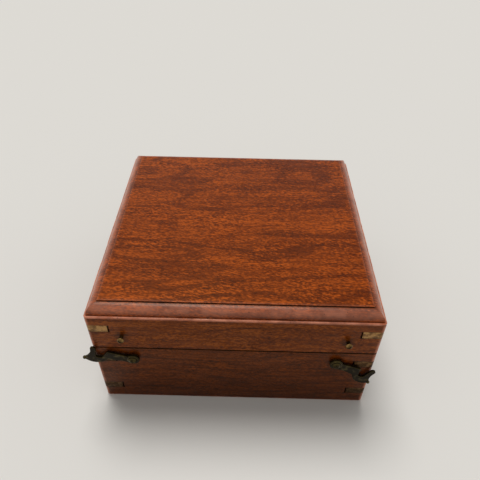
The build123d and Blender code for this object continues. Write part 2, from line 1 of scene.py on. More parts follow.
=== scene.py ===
"""Looks of a small hardwood instrument case: its wood, brass, bronze and baize.

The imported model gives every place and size, in metres, with +Y towards the hinges and +Z up.
Sizes that a maker reads in millimetres are written so, and multiplied by MM.
"""

import logging
import math
from collections.abc import Callable, Sequence
from dataclasses import dataclass
from enum import Enum

import bmesh
import bpy
import numpy as np
from mathutils import Matrix, Vector, noise


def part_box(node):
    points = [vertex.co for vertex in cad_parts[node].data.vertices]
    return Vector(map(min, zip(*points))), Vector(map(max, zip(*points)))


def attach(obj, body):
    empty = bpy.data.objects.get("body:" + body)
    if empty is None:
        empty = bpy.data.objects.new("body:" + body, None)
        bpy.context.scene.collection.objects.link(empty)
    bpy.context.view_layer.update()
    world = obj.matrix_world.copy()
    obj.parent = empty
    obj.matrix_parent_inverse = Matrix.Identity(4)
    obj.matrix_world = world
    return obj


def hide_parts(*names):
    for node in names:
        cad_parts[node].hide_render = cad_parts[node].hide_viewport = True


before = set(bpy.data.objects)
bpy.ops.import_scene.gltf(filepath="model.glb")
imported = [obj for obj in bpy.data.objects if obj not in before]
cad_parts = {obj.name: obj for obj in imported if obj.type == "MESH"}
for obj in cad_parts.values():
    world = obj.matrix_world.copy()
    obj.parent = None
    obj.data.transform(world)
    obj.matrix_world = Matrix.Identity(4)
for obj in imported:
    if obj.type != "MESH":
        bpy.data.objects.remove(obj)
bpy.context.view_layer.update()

Piece, Mesh, Material = bpy.types.Object, bpy.types.Mesh, bpy.types.Material
Tree, Socket = bpy.types.NodeTree, bpy.types.NodeSocket
Point = tuple[float, float, float]
Marks = tuple[float, float]     # millimetres along and across the grain
Span = tuple[float, ...]        # where a pattern starts and ends, and its values there if not 0 and 1

MM = 0.001
WELD = 2e-6                     # metres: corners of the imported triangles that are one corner
# how a node type's name begins, in the order tried
FAMILIES = ("GeometryNode", "FunctionNode", "ShaderNode", "NodeGroup")
SMOOTH = {"interpolation_type": "SMOOTHSTEP"}   # a Map Range that eases in and out
VECTOR = {"data_type": "FLOAT_VECTOR"}
SHIFT = (1.0, 1.7, 0.6)         # how far a seed moves a pattern along each axis
# how squarely a casting faces the front where its rim's rubbing starts, is whole, fades and ends
RIM = (0.35, 0.75, 0.85, 0.97)
log = logging.getLogger("case")


# ---- Nodes and meshes ------------------------------------------------------------------

def linear(colour: str) -> tuple[float, float, float, float]:
    """Turns an sRGB hex colour to linear light.

    Args:
        colour: six hex digits after a hash sign.

    Returns:
        Red, green, blue and an alpha of one.
    """
    shares = [int(colour[i:i + 2], 16) / 255 for i in (1, 3, 5)]
    red, green, blue = (s / 12.92 if s <= 0.04045 else ((s + 0.055) / 1.055) ** 2.4 for s in shares)
    return red, green, blue, 1.0


def add(tree: Tree, kind: str, inputs: Sequence | dict = (), out: int | str = 0,
        stops: Sequence[tuple[float, str]] = (), **settings: object) -> Socket:
    """Adds one node to a tree, with its settings, values and links.

    Args:
        tree: the shader or geometry tree.
        kind: the node's type without its family, and its operation after a space.
        inputs: values, or sockets to link from, in order or by the input's name or number.
        out: which output to return, by name or number.
        stops: places and hex colours of a colour ramp.
        settings: other properties of the node.

    Returns:
        The chosen output socket, or the node's first input where it has no output.
    """
    kind, _, operation = kind.partition(" ")
    node = tree.nodes.new(next(f + kind for f in FAMILIES if hasattr(bpy.types, f + kind)))
    if operation:
        node.operation = operation
    for name, value in settings.items():
        setattr(node, name, value)
    for key, value in inputs.items() if isinstance(inputs, dict) else enumerate(inputs):
        if isinstance(value, Socket):
            tree.links.new(value, node.inputs[key])
        elif value is not None:
            node.inputs[key].default_value = value
    if stops:
        ramp = node.color_ramp.elements
        while len(ramp) < len(stops):
            ramp.new(0.5)
        for element, (place, colour) in zip(ramp, stops):
            element.position = place
            element.color = linear(colour)
    return node.outputs[out] if len(node.outputs) else node.inputs[0]


def new_material(name: str) -> tuple[Material, Tree]:
    """Makes an empty node material.

    Args:
        name: the finish's name.

    Returns:
        The material and its node tree.
    """
    material = bpy.data.materials.new(name)
    material.use_nodes = True
    material.node_tree.nodes.clear()
    return material, material.node_tree


def millimetres(tree: Tree) -> Socket:
    """Gives a material the piece's own coordinates in millimetres."""
    place = add(tree, "TexCoord", out="Object")
    return add(tree, "VectorMath SCALE", {0: place, "Scale": 1 / MM})


def patches(tree: Tree, place: Socket, size: Sequence[float], seed: float, detail: float = 2.0,
            span: Span = ()) -> Socket:
    """Adds soft patches that have a real size along each axis.

    Args:
        tree: the shader tree.
        place: coordinates in millimetres.
        size: the patches' size along X, Y and Z in millimetres.
        seed: moves the pattern, so that no two layers match.
        detail: how many finer octaves ride on it.
        span: the part of the pattern that counts, and its values there.

    Returns:
        The pattern, mostly from 0.3 to 0.7, or the values that its span gives.
    """
    scaled = add(tree, "Mapping", {"Vector": place, "Location": [seed * way for way in SHIFT],
                                   "Scale": [1 / s for s in size]})
    pattern = add(tree, "TexNoise", {"Vector": scaled, "Scale": 1.0, "Detail": detail})
    return add(tree, "MapRange", (pattern, *span), **SMOOTH) if span else pattern


def painted(tree: Tree, colour: Socket | Sequence[float], *coats: tuple[Socket, str]) -> Socket:
    """Lays coats over a colour.

    Args:
        tree: the shader tree.
        colour: what lies under them.
        coats: the mask and hex colour of each, from the lowest up.

    Returns:
        The colour on top.
    """
    for mask, paint in coats:
        colour = add(tree, "Mix", {0: mask, 6: colour, 7: linear(paint)}, 2, data_type="RGBA")
    return colour


def surface(tree: Tree, height: Socket, depth_mm: float, **inputs: object) -> None:
    """Ends a material in a principled surface with a bump of a real depth.

    Args:
        tree: the shader tree.
        height: the relief, from 0 to 1.
        depth_mm: how deep a step from 0 to 1 is.
        inputs: the surface's inputs, with underscores for the spaces in their names.
    """
    bump = add(tree, "Bump", {"Height": height, "Distance": depth_mm * MM, "Strength": 1.0})
    values = {name.replace("_", " "): value for name, value in inputs.items()}
    shader = add(tree, "BsdfPrincipled", {"Normal": bump, **values})
    add(tree, "OutputMaterial", {"Surface": shader})


def new_tree(name: str, inputs: dict[str, str]) -> tuple[Tree, Sequence[Socket]]:
    """Makes an empty geometry tree with one geometry output.

    Args:
        name: the tree's name.
        inputs: the type of each input socket, by its name.

    Returns:
        The tree, and the sockets that give its inputs.
    """
    tree = bpy.data.node_groups.new(name, "GeometryNodeTree")
    tree.interface.new_socket("Geometry", in_out="OUTPUT", socket_type="NodeSocketGeometry")
    for label, kind in inputs.items():
        tree.interface.new_socket(label, in_out="INPUT", socket_type="NodeSocket" + kind)
    return tree, tree.nodes.new("NodeGroupInput").outputs


def run_tree(piece: Piece, tree: Tree, values: dict[str, object]) -> bpy.types.Modifier:
    """Puts a geometry tree on an object as a modifier.

    Args:
        piece: the object.
        tree: the geometry tree.
        values: the tree's inputs by name.

    Returns:
        The modifier.
    """
    modifier = piece.modifiers.new(tree.name, "NODES")
    modifier.node_group = tree
    for item in tree.interface.items_tree:
        if item.in_out == "INPUT" and item.name in values:
            modifier[item.identifier] = values[item.name]
    return modifier


def strand(tree: Tree, source: Socket) -> Socket:
    """Gives the curve through the points of an object input."""
    shape = add(tree, "ObjectInfo", {"Object": source}, "Geometry")
    return add(tree, "MeshToCurve", {"Mesh": shape})


def swept(tree: Tree, rail: Socket, profile: Socket) -> tuple[Socket, Socket, Sequence[Socket]]:
    """Sweeps a profile along a rail, and keeps where each point came from on both.

    Args:
        tree: the geometry tree.
        rail: the rail's curve.
        profile: the profile's curve.

    Returns:
        The swept mesh, its points' places on the rail, and their X, Y and Z on the profile.
    """
    place = add(tree, "InputPosition")
    rail, profile = (
        add(tree, "StoreNamedAttribute", {"Geometry": curve, "Name": label, "Value": place},
            domain="POINT", **VECTOR) for label, curve in (("spot", rail), ("cut", profile)))
    shape = add(tree, "CurveToMesh", {"Curve": rail, "Profile Curve": profile})
    spot, cut = (add(tree, "InputNamedAttribute", {"Name": label}, **VECTOR) for label in ("spot", "cut"))
    return shape, spot, add(tree, "SeparateXYZ", (cut,)).node.outputs


def finished(tree: Tree, shape: Socket, finish: Socket) -> Tree:
    """Ends a geometry tree in real faces with their finish.

    Args:
        tree: the geometry tree.
        shape: the shape so far.
        finish: the material input.

    Returns:
        The tree.
    """
    real = add(tree, "RealizeInstances", {"Geometry": shape})
    done = add(tree, "SetMaterial", {"Geometry": real, "Material": finish})
    add(tree, "Output", (done,))
    return tree


def faced_outwards(mesh: Mesh) -> Mesh:
    """Merges a mesh's doubles and turns its faces outwards.

    Args:
        mesh: the mesh, which is changed.

    Returns:
        The same mesh.
    """
    work = bmesh.new()
    work.from_mesh(mesh)
    bmesh.ops.remove_doubles(work, verts=work.verts, dist=WELD)
    bmesh.ops.recalc_face_normals(work, faces=work.faces)
    work.to_mesh(mesh)
    work.free()
    return mesh


def placed(mesh: Mesh, name: str) -> Piece:
    """Puts a mesh in the scene.

    Args:
        mesh: the mesh.
        name: the object's name.

    Returns:
        The object, at the origin.
    """
    piece = bpy.data.objects.new(name, mesh)
    bpy.context.collection.objects.link(piece)
    return piece


def point_mesh(name: str, points: Sequence[Sequence[float]] = ((0.0, 0.0, 0.0),),
               closed: bool | None = None, values: dict[str, Sequence] | None = None) -> Piece:
    """Makes a mesh of points, joined in order or loose, that carries values.

    Args:
        name: the object's name.
        points: the points in order.
        closed: joins the points to a ring if true, to a line if false, or not at all if None.
        values: a number or a vector for each point, by attribute name.

    Returns:
        The object.
    """
    count = len(points)
    edges = [] if closed is None else [(i, i + 1) for i in range(count - 1)]
    if closed:
        edges.append((count - 1, 0))
    mesh = bpy.data.meshes.new(name)
    mesh.from_pydata([tuple(p) for p in points], edges, [])
    for label, numbers in (values or {}).items():
        flat = np.array(numbers, float)
        kind, key = ("FLOAT_VECTOR", "vector") if flat.ndim == 2 else ("FLOAT", "value")
        mesh.attributes.new(label, kind, "POINT").data.foreach_set(key, flat.ravel())
    return placed(mesh, name)


def grown(tree: Tree, values: dict[str, object], name: str) -> Piece:
    """Runs a geometry tree and keeps the result as a plain mesh.

    Args:
        tree: the geometry tree.
        values: the tree's inputs by name. Objects among them are removed afterwards.
        name: the name of the finished piece.

    Returns:
        The new object, at the origin, with its faces outwards.
    """
    host = point_mesh("host")
    modifier = run_tree(host, tree, values)
    host.update_tag()
    graph = bpy.context.evaluated_depsgraph_get()
    mesh = bpy.data.meshes.new_from_object(host.evaluated_get(graph), depsgraph=graph)
    host.modifiers.remove(modifier)
    for used in (host, *(value for value in values.values() if isinstance(value, Piece))):
        bpy.data.objects.remove(used)
    return placed(faced_outwards(mesh), name)


def edge_tree() -> Tree:
    """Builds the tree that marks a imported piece's long sharp edges, for a bevel to round.

    The rims of small holes stay crisp, because a bevel would tear them.

    Returns:
        The geometry tree.
    """
    tree, sources = new_tree("long_sharp_edges", {
        "Shape": "Geometry", "Turn": "Float", "Length": "Float", "Merge": "Float"})
    whole = add(tree, "MergeByDistance", {"Geometry": sources["Shape"], "Distance": sources["Merge"]})
    ends = add(tree, "InputMeshEdgeVertices").node.outputs
    length = add(tree, "VectorMath DISTANCE", (ends["Position 1"], ends["Position 2"]), "Value")
    sharp = add(tree, "Compare GREATER_THAN", (add(tree, "InputMeshEdgeAngle"), sources["Turn"]))
    long = add(tree, "Compare GREATER_THAN", (length, sources["Length"]))
    rounded, crisp = (add(tree, f"BooleanMath {rule}", (sharp, long)) for rule in ("AND", "NIMPLY"))
    smooth = add(tree, "SetShadeSmooth", {"Geometry": whole, "Shade Smooth": True})
    edged = add(tree, "SetShadeSmooth",
                {"Geometry": smooth, "Selection": crisp, "Shade Smooth": False}, domain="EDGE")
    marked = add(tree, "StoreNamedAttribute",
                 {"Geometry": edged, "Name": "bevel_weight_edge", "Value": rounded},
                 data_type="FLOAT", domain="EDGE")
    add(tree, "Output", (marked,))
    return tree


def rim_tree() -> Tree:
    """Builds the tree that marks a flat casting's rounded rims as rubbed, as they turn from the front.

    Returns:
        The geometry tree.
    """
    tree, sources = new_tree("rubbed_rims", {"Shape": "Geometry", "Inside": "Float", "Outside": "Float"})
    facing = add(tree, "SeparateXYZ", (add(tree, "InputNormal"),), 1)
    front = add(tree, "Math MULTIPLY", (facing, -1.0))
    rising = add(tree, "MapRange", (front, sources["Inside"], RIM[1], 0.0, 1.0), **SMOOTH)
    falling = add(tree, "MapRange", (front, RIM[2], sources["Outside"], 1.0, 0.0), **SMOOTH)
    worn = add(tree, "Math MULTIPLY", (rising, falling))
    marked = add(tree, "StoreNamedAttribute",
                 {"Geometry": sources["Shape"], "Name": "worn", "Value": worn},
                 data_type="FLOAT", domain="POINT")
    add(tree, "Output", (marked,))
    return tree


def ease_edges(piece: Piece, width: float, steps: int = 2, shortest: float = 2.0,
               turn: float = 30.0) -> None:
    """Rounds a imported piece's long sharp edges with modifiers, as a file or a sanding block does.

    Args:
        piece: the piece, whose mesh may be loose triangles.
        width: how wide the rounding is, in millimetres.
        steps: facets across the rounding.
        shortest: edges shorter than this many millimetres are left crisp.
        turn: edges that turn by fewer degrees than this are left as they are.
    """
    tree = bpy.data.node_groups.get("long_sharp_edges") or edge_tree()
    run_tree(piece, tree, {"Turn": math.radians(turn), "Length": shortest * MM, "Merge": WELD})
    bevel = piece.modifiers.new("eased edges", "BEVEL")
    bevel.width = width * MM
    bevel.segments = steps
    bevel.limit_method = "WEIGHT"
    bevel.use_clamp_overlap = False
    shading = piece.modifiers.new("even shading", "WEIGHTED_NORMAL")
    shading.keep_sharp = True


def soften(piece: Piece, cell: float, passes: int) -> None:
    """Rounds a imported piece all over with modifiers, as a worn casting is.

    Args:
        piece: the piece, whose mesh may be loose triangles.
        cell: the size of the new mesh's faces, in millimetres.
        passes: how often the mesh is smoothed.
    """
    weld = piece.modifiers.new("weld", "WELD")
    weld.merge_threshold = WELD
    skin = piece.modifiers.new("skin", "REMESH")
    skin.mode = "VOXEL"
    skin.voxel_size = cell * MM
    skin.use_smooth_shade = True
    smooth = piece.modifiers.new("worn", "SMOOTH")
    smooth.iterations = passes
    tree = bpy.data.node_groups.get("rubbed_rims") or rim_tree()
    run_tree(piece, tree, {"Inside": RIM[0], "Outside": RIM[3]})


def dress(node: str, material: Material) -> Piece:
    """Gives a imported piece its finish.

    Args:
        node: the piece's name.
        material: the finish.

    Returns:
        The piece.
    """
    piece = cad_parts[node]
    for slot in piece.material_slots:
        slot.material = material
    log.info("dressed %s in %s", node, material.name)
    return piece


def settle(piece: Piece, body: str, slot: str, *nodes: str) -> Piece:
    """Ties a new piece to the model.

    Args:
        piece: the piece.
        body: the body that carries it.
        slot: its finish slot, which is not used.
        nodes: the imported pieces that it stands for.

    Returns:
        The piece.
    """
    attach(piece, body)
    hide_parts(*nodes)
    log.info("made %s, %d faces, on %s, for %s", piece.name, len(piece.data.polygons), body,
             ", ".join(nodes))
    return piece


# ---- Finishes --------------------------------------------------------------------------

class Grain(Enum):
    """The way a board's fibres run, as the turn about Z that brings them onto X."""

    ALONG_X = 0.0
    ALONG_Y = -math.pi / 2


@dataclass(frozen=True)
class Handling:
    """Where years of hands and dust have marked the closed case, with painted shade and highlights. Its
    distances are in millimetres.
    """

    corner: Span = (2.7, 0.5)               # in from an upright corner
    face: Span = (0.9, 0.3, 0.0, 0.6)       # in from an outside face, at the foot
    foot: Span = (1.8, 0.3)                 # up from the foot
    rub_size: Point = (7.0, 7.0, 5.0)
    rub_span: Span = (0.34, 0.62, 0.45, 1.0)
    seam: Span = (0.85, 0.35)               # off the seam
    strap: Span = (0.8, 0.1, 0.0, 0.75)     # out from a strap: dirt and painted shade
    strap_gap: float = 0.7
    fitting: Span = (6.0, 2.2, 0.0, 0.6)    # from the middle of a stud or pivot: dirt and a painted shadow
    skin: Span = (2.2, 1.6)                 # in from an outside face, as deep as the dirt and painted shade go
    dirt_size: Point = (9.0, 9.0, 1.6)
    dirt_span: Span = (0.3, 0.55, 0.45, 1.0)

    def depths(self, tree: Tree, place: Socket) -> tuple[Socket, Socket, Socket]:
        """Measures how far in and how high a point lies, in millimetres.

        Args:
            tree: the shader tree.
            place: coordinates in millimetres.

        Returns:
            The depths below the nearer and the farther outside face, and the height.
        """
        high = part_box("lid_board")[1]
        size = add(tree, "VectorMath ABSOLUTE", (place,))
        inside = add(tree, "VectorMath SUBTRACT", ((high.x / MM, high.y / MM, 0.0), size))
        split = add(tree, "SeparateXYZ", (inside,)).node.outputs
        nearer, farther = (add(tree, f"Math {end}", (split[0], split[1])) for end in ("MINIMUM", "MAXIMUM"))
        return nearer, farther, add(tree, "SeparateXYZ", (place,), 2)

    def off(self, tree: Tree, value: Socket, middle: float) -> Socket:
        """Gives how far a value is from a middle, on either side."""
        away = add(tree, "Math SUBTRACT", (value, middle))
        return add(tree, "Math ABSOLUTE", (away,))

    def rubbed(self, tree: Tree, place: Socket) -> Socket:
        """Adds the mask of edges that hands have rubbed pale, and of the painted highlights on the moulding.

        Args:
            tree: the shader tree.
            place: coordinates in millimetres.

        Returns:
            The mask: upright corners, the foot, and the moulding's arrises and ovolo with their painted
                highlight.
        """
        nearer, farther, up = self.depths(tree, place)
        corner, face, foot = (add(tree, "MapRange", (depth, *span), **SMOOTH) for depth, span in
                              ((farther, self.corner), (nearer, self.face), (up, self.foot)))
        worn = add(tree, "Math MULTIPLY", (foot, face))
        # the moulding's rubbed edges, with a painted highlight on the ovolo and arris
        for edge in (corner, add(tree, "Attribute", out="Fac", attribute_name="worn")):
            worn = add(tree, "Math MAXIMUM", (worn, edge))
        uneven = patches(tree, place, self.rub_size, 5.0, 3.0, self.rub_span)
        return add(tree, "Math MULTIPLY", (worn, uneven))

    def dirt(self, tree: Tree, place: Socket) -> Socket:
        """Adds the mask of dirt that dusters don't reach, with painted shade and shadow.

        Args:
            tree: the shader tree.
            place: coordinates in millimetres.

        Returns:
            The mask: the seam, dirt with painted shade round the straps and in the moulding, and dirt with a
                painted shadow behind the latches.
        """
        nearer, farther, up = self.depths(tree, place)
        seam = (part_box("base_front_wall")[1].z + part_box("lid_front_rail")[0].z) / 2 / MM
        total = add(tree, "MapRange", (self.off(tree, up, seam), *self.seam), **SMOOTH)
        gaps = []
        # dirt and painted shade where the straps meet the wood
        for row in ("base_lower", "base_upper", "lid"):
            low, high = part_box(f"{row}_strap_front_left")
            above = add(tree, "Math SUBTRACT", (self.off(tree, up, (low.z + high.z) / 2 / MM),
                                                (high.z - low.z) / 2 / MM))
            beyond = add(tree, "Math SUBTRACT", (farther, (high.x - low.x) / MM + self.strap_gap))
            gaps.append((add(tree, "Math MAXIMUM", (above, beyond)), self.strap))
        split = add(tree, "SeparateXYZ", (place,)).node.outputs
        spot = add(tree, "CombineXYZ", (add(tree, "Math ABSOLUTE", (split[0],)), split[1], split[2]))
        # dirt and a painted shadow behind the studs and pivots
        for fitting in ("catch_stud", "pivot_screw"):
            low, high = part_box(f"right_{fitting}")
            centre = ((low.x + high.x) / 2 / MM, -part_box("lid_board")[1].y / MM, (low.z + high.z) / 2 / MM)
            gaps.append((add(tree, "VectorMath DISTANCE", (spot, centre), "Value"), self.fitting))
        for gap, span in gaps:
            total = add(tree, "Math MAXIMUM", (total, add(tree, "MapRange", (gap, *span), **SMOOTH)))
        for part in (patches(tree, place, self.dirt_size, 6.0, 3.0, self.dirt_span),
                     add(tree, "MapRange", (nearer, *self.skin), **SMOOTH)):
            total = add(tree, "Math MULTIPLY", (total, part))
        # dirt and painted shade in the moulding's creases
        shape = add(tree, "Attribute", out="Fac", attribute_name="grime")
        return add(tree, "Math MAXIMUM", (total, shape))


@dataclass(frozen=True)
class CabinetWood:
    """Open-pored red-brown cabinet hardwood, planed, stained and rubbed to a satin."""

    name: str
    grain: Grain
    dark: str
    middle: str
    light: str
    # pale rubbed wood, also the colour of the moulding's painted highlight
    worn: str = "#c0775a"
    # dirt, dark pores and grain lines, and the colour of painted shade
    grime: str = "#160703"
    polish: str = "#e2a862"                 # oil and stain, gone amber
    specular: float = 0.2
    coat_roughness: float = 0.38            # shellac, where cloths have polished it
    roughness: float = 0.33
    seed: float = 0.0
    handling: Handling | None = Handling()
    refraction: float = 1.5
    foot_shade: float = 0.0                 # how far painted shade darkens the foot
    foot_span: Span = (44.0, 4.0)           # mm above the foot
    band: Marks = (120.0, 13.0)
    band_share: float = 0.22
    streak: Marks = (24.0, 1.8)
    streak_share: float = 0.42
    fleck: Marks = (2.7, 0.62)
    fleck_share: float = 1.0
    mottle: Marks = (1.6, 0.95)
    mottle_share: float = 0.6               # of the flecks' share
    lively: Marks = (28.0, 12.0)            # areas where the flecks stand out
    lively_span: Span = (0.35, 0.65, 0.8, 1.4)
    tones: Span = (0.24, 0.5, 0.74)         # where in the pattern each colour stands
    # real pores are 0.2 mm wide, and these are drawn twice as wide so that they show
    pore: Marks = (3.4, 0.45)
    pore_span: Span = (0.6, 0.68)
    pore_tint: float = 0.38
    pore_roughness: float = 0.2             # how much rougher than the wood about it
    line: Marks = (46.0, 1.0)
    line_span: Span = (0.62, 0.74, 0.0, 0.3)
    drift: Marks = (55.0, 24.0)
    sway: float = 11.0                      # mm, how far the fibres wander
    lean: float = math.radians(9)           # how far the flecks lean off the grain
    heart: Point = (0.0, 22.0, -96.0)       # mm, the log's middle, below the board
    ring_spacing: float = 7.5
    ring_drift: Marks = (95.0, 26.0)
    ring_sway: float = 34.0
    ring_span: Span = (0.1, 1.0)
    ring_share: float = -0.12
    gloss: Marks = (30.0, 12.0)
    gloss_span: Span = (0.3, 0.7)
    gloss_change: Span = (-0.05, 0.08)      # of the roughness
    nick: float = 1.7                       # mm, sparse dents that hold dirt
    nick_span: Span = (0.72, 0.77)
    nick_depth: float = 2.5                 # of the relief
    nick_dirt: float = 0.45
    relief: float = 0.04

    def along(self, tree: Tree, board: Socket, size: Marks, seed: float, detail: float = 2.0,
              span: Span = ()) -> Socket:
        """Adds marks drawn out along the grain.

        Args:
            tree: the shader tree.
            board: the board's coordinates, with the grain on X.
            size: the marks' length and width.
            seed: moves the pattern.
            detail: octaves of finer marks.
            span: the part of the pattern that counts, and its values there.

        Returns:
            The marks.
        """
        length, width = size
        return patches(tree, board, (length, width, width), self.seed + seed, detail, span)

    def fibres(self, tree: Tree, place: Socket) -> Socket:
        """Turns coordinates with the grain, whose fibres wander a little.

        Args:
            tree: the shader tree.
            place: coordinates in millimetres.

        Returns:
            The board's coordinates, with the grain on X.
        """
        board = add(tree, "Mapping", {"Vector": place, "Rotation": (0.0, 0.0, self.grain.value)})
        centred = add(tree, "Math SUBTRACT", (self.along(tree, board, self.drift, 31.0, 1.0), 0.5))
        aside = add(tree, "VectorMath SCALE", {0: (0.0, self.sway, self.sway), "Scale": centred})
        return add(tree, "VectorMath ADD", (board, aside))

    def rings(self, tree: Tree, board: Socket) -> Socket:
        """Adds the growth rings' thin late wood.

        Args:
            tree: the shader tree.
            board: the board's coordinates, with the grain on X.

        Returns:
            The rings, about the log's heart.
        """
        across = add(tree, "VectorMath MULTIPLY", (board, (0.0, 1.0, 1.0)))
        away = add(tree, "VectorMath DISTANCE", (across, self.heart), "Value")
        sway = self.along(tree, board, self.ring_drift, 32.0, 1.0)
        swayed = add(tree, "Math MULTIPLY_ADD", (sway, self.ring_sway, away))
        turns = add(tree, "Math MULTIPLY", (swayed, math.tau / self.ring_spacing))
        return add(tree, "MapRange", (add(tree, "Math SINE", (turns,)), *self.ring_span), **SMOOTH)

    def summed(self, tree: Tree, start: Socket | float, *layers: tuple[Socket, float]) -> Socket:
        """Adds patterns about their middle value to a start.

        Args:
            tree: the shader tree.
            start: what they are added to.
            layers: each pattern and its share.

        Returns:
            The sum.
        """
        for layer, share in layers:
            centred = add(tree, "Math SUBTRACT", (layer, 0.5))
            start = add(tree, "Math MULTIPLY_ADD", (centred, share, start))
        return start

    def figure(self, tree: Tree, board: Socket, pores: Socket) -> Socket:
        """Adds the wood's own colours.

        Args:
            tree: the shader tree.
            board: the board's coordinates, with the grain on X.
            pores: where the pores are.

        Returns:
            The colour before any handling.
        """
        leaning = add(tree, "Mapping", {"Vector": board, "Rotation": (0.0, 0.0, self.lean)})
        flecks = self.summed(
            tree, 0.0, (self.along(tree, leaning, self.fleck, 3.0, 3.0), self.fleck_share),
            (self.along(tree, leaning, self.mottle, 4.0, 3.0), self.fleck_share * self.mottle_share))
        strength = self.along(tree, board, self.lively, 5.0, 1.0, self.lively_span)
        tone = self.summed(
            tree, add(tree, "Math MULTIPLY_ADD", (flecks, strength, 0.5)),
            (self.along(tree, board, self.band, 1.0), self.band_share),
            (self.along(tree, board, self.streak, 2.0, 3.0), self.streak_share),
            (self.rings(tree, board), self.ring_share))
        colour = add(tree, "ValToRGB", (tone,),
                     stops=tuple(zip(self.tones, (self.dark, self.middle, self.light))))
        return painted(tree, colour,
                       (self.along(tree, board, self.line, 6.0, 2.0, self.line_span), self.grime),
                       (add(tree, "Math MULTIPLY", (pores, self.pore_tint)), self.grime))

    def material(self) -> Material:
        """Builds the finish.

        Returns:
            A satin wood with figure, pores and, where it is handled, rubbed edges, grime, painted shade and
            painted highlights.
        """
        material, tree = new_material(self.name)
        place = millimetres(tree)
        board = self.fibres(tree, place)
        pores = self.along(tree, board, self.pore, 7.0, 1.0, self.pore_span)
        colour = self.figure(tree, board, pores)
        fibre = self.along(tree, board, self.fleck, 9.0, 3.0)
        height = add(tree, "Math MULTIPLY_ADD", (pores, -1.0, fibre))
        if self.handling:
            up = add(tree, "SeparateXYZ", (place,), 2)
            shade = add(tree, "MapRange", (up, *self.foot_span, 0.0, self.foot_shade), **SMOOTH)
            nicks = patches(tree, place, (self.nick,) * 3, self.seed + 12.0, 1.0, self.nick_span)
            height = add(tree, "Math MULTIPLY_ADD", (nicks, -self.nick_depth, height))
            # painted shade at the foot, rubbed edges with painted highlights, dirt with painted shade, and
            # dirty dents
            colour = painted(tree, colour, (shade, self.grime),
                             (self.handling.rubbed(tree, place), self.worn),
                             (self.handling.dirt(tree, place), self.grime),
                             (add(tree, "Math MULTIPLY", (nicks, self.nick_dirt)), self.grime))
        limits = (self.roughness + change for change in self.gloss_change)
        gloss = self.along(tree, board, self.gloss, 8.0, span=(*self.gloss_span, *limits))
        surface(tree, height, self.relief, Base_Color=colour, IOR=self.refraction,
                Roughness=add(tree, "Math MULTIPLY_ADD", (pores, self.pore_roughness, gloss)),
                Specular_IOR_Level=self.specular, Specular_Tint=linear(self.polish),
                Coat_Weight=add(tree, "Attribute", out="Fac", attribute_name="shine"),
                Coat_Roughness=self.coat_roughness)
        return material


@dataclass(frozen=True)
class AgedMetal:
    """Cast or rolled copper alloy that has browned with age and is rubbed bright on its edges."""

    name: str
    bright: str
    tarnish: str
    # specks of crust, also the colour of painted shade low on the case
    crust: str
    tarnish_share: float                    # from 0, polished, to 1, wholly browned
    roughness: float
    blotch: float = 3.2                     # mm
    blotch_level: float = 0.62              # where blotches start if nothing is browned
    blotch_fall: float = 0.24
    blotch_edge: float = 0.1
    speck: float = 0.5                      # mm, spots of crust
    speck_span: Span = (0.62, 0.7)
    tarnish_roughness: float = 0.16         # how much rougher than bare metal
    speck_roughness: float = 0.2
    foot_shade: float = 0.0                 # how much painted shade darkens it low on the case
    foot_span: Span = (40.0, 15.0)          # mm above the foot
    scratch: Marks = (7.0, 0.22)            # mm, drawn coarser than real so that they show
    scratch_span: Span = (0.66, 0.74)
    scratch_share: float = 0.5              # how far a scratch shows bare metal
    scratch_depth: float = 0.5              # of the relief
    # a seed and a turn in radians for each way that the scratches run
    scratch_ways: tuple[tuple[float, Point], ...] = (
        (12.0, (0.31, 0.2, 0.5)), (13.0, (0.2, 1.05, 0.3)), (15.0, (-0.5, 0.6, 0.1)))
    relief: float = 0.02

    def material(self) -> Material:
        """Builds the finish.

        Returns:
            A metal with tarnish blotches, fine scratches three ways, specks of crust, rubbed rims and
            painted shade low down.
        """
        material, tree = new_material(self.name)
        place = millimetres(tree)
        blotch = patches(tree, place, (self.blotch,) * 3, 11.0, 4.0)
        level = self.blotch_level - self.blotch_fall * self.tarnish_share
        brown = add(tree, "MapRange", (blotch, level - self.blotch_edge, level + self.blotch_edge), **SMOOTH)
        rim = add(tree, "Attribute", out="Fac", attribute_name="worn")
        brown = add(tree, "Math MULTIPLY", (brown, add(tree, "Math SUBTRACT", (1.0, rim))))
        length, width = self.scratch
        marks = 0.0
        for seed, turn in self.scratch_ways:
            askew = add(tree, "Mapping", {"Vector": place, "Rotation": turn})
            line = patches(tree, askew, (length, length, width), seed)
            marks = add(tree, "Math MAXIMUM", (line, marks))
        scratches = add(tree, "MapRange", (marks, *self.scratch_span), **SMOOTH)
        specks = patches(tree, place, (self.speck,) * 3, 14.0, 3.0, self.speck_span)
        up = add(tree, "SeparateXYZ", (place,), 2)
        # painted shade, darker low on the case
        shade = add(tree, "MapRange", (up, *self.foot_span, 0.0, self.foot_shade), **SMOOTH)
        colour = painted(tree, linear(self.bright), (brown, self.tarnish), (specks, self.crust),
                         (add(tree, "Math MULTIPLY", (scratches, self.scratch_share)), self.bright),
                         (shade, self.crust))
        rough = add(tree, "Math MULTIPLY_ADD", (brown, self.tarnish_roughness, self.roughness))
        rough = add(tree, "Math MULTIPLY_ADD", (specks, self.speck_roughness, rough))
        height = add(tree, "Math MULTIPLY_ADD", (scratches, -self.scratch_depth, blotch))
        surface(tree, height, self.relief, Base_Color=colour, Roughness=rough, Metallic=1.0)
        return material


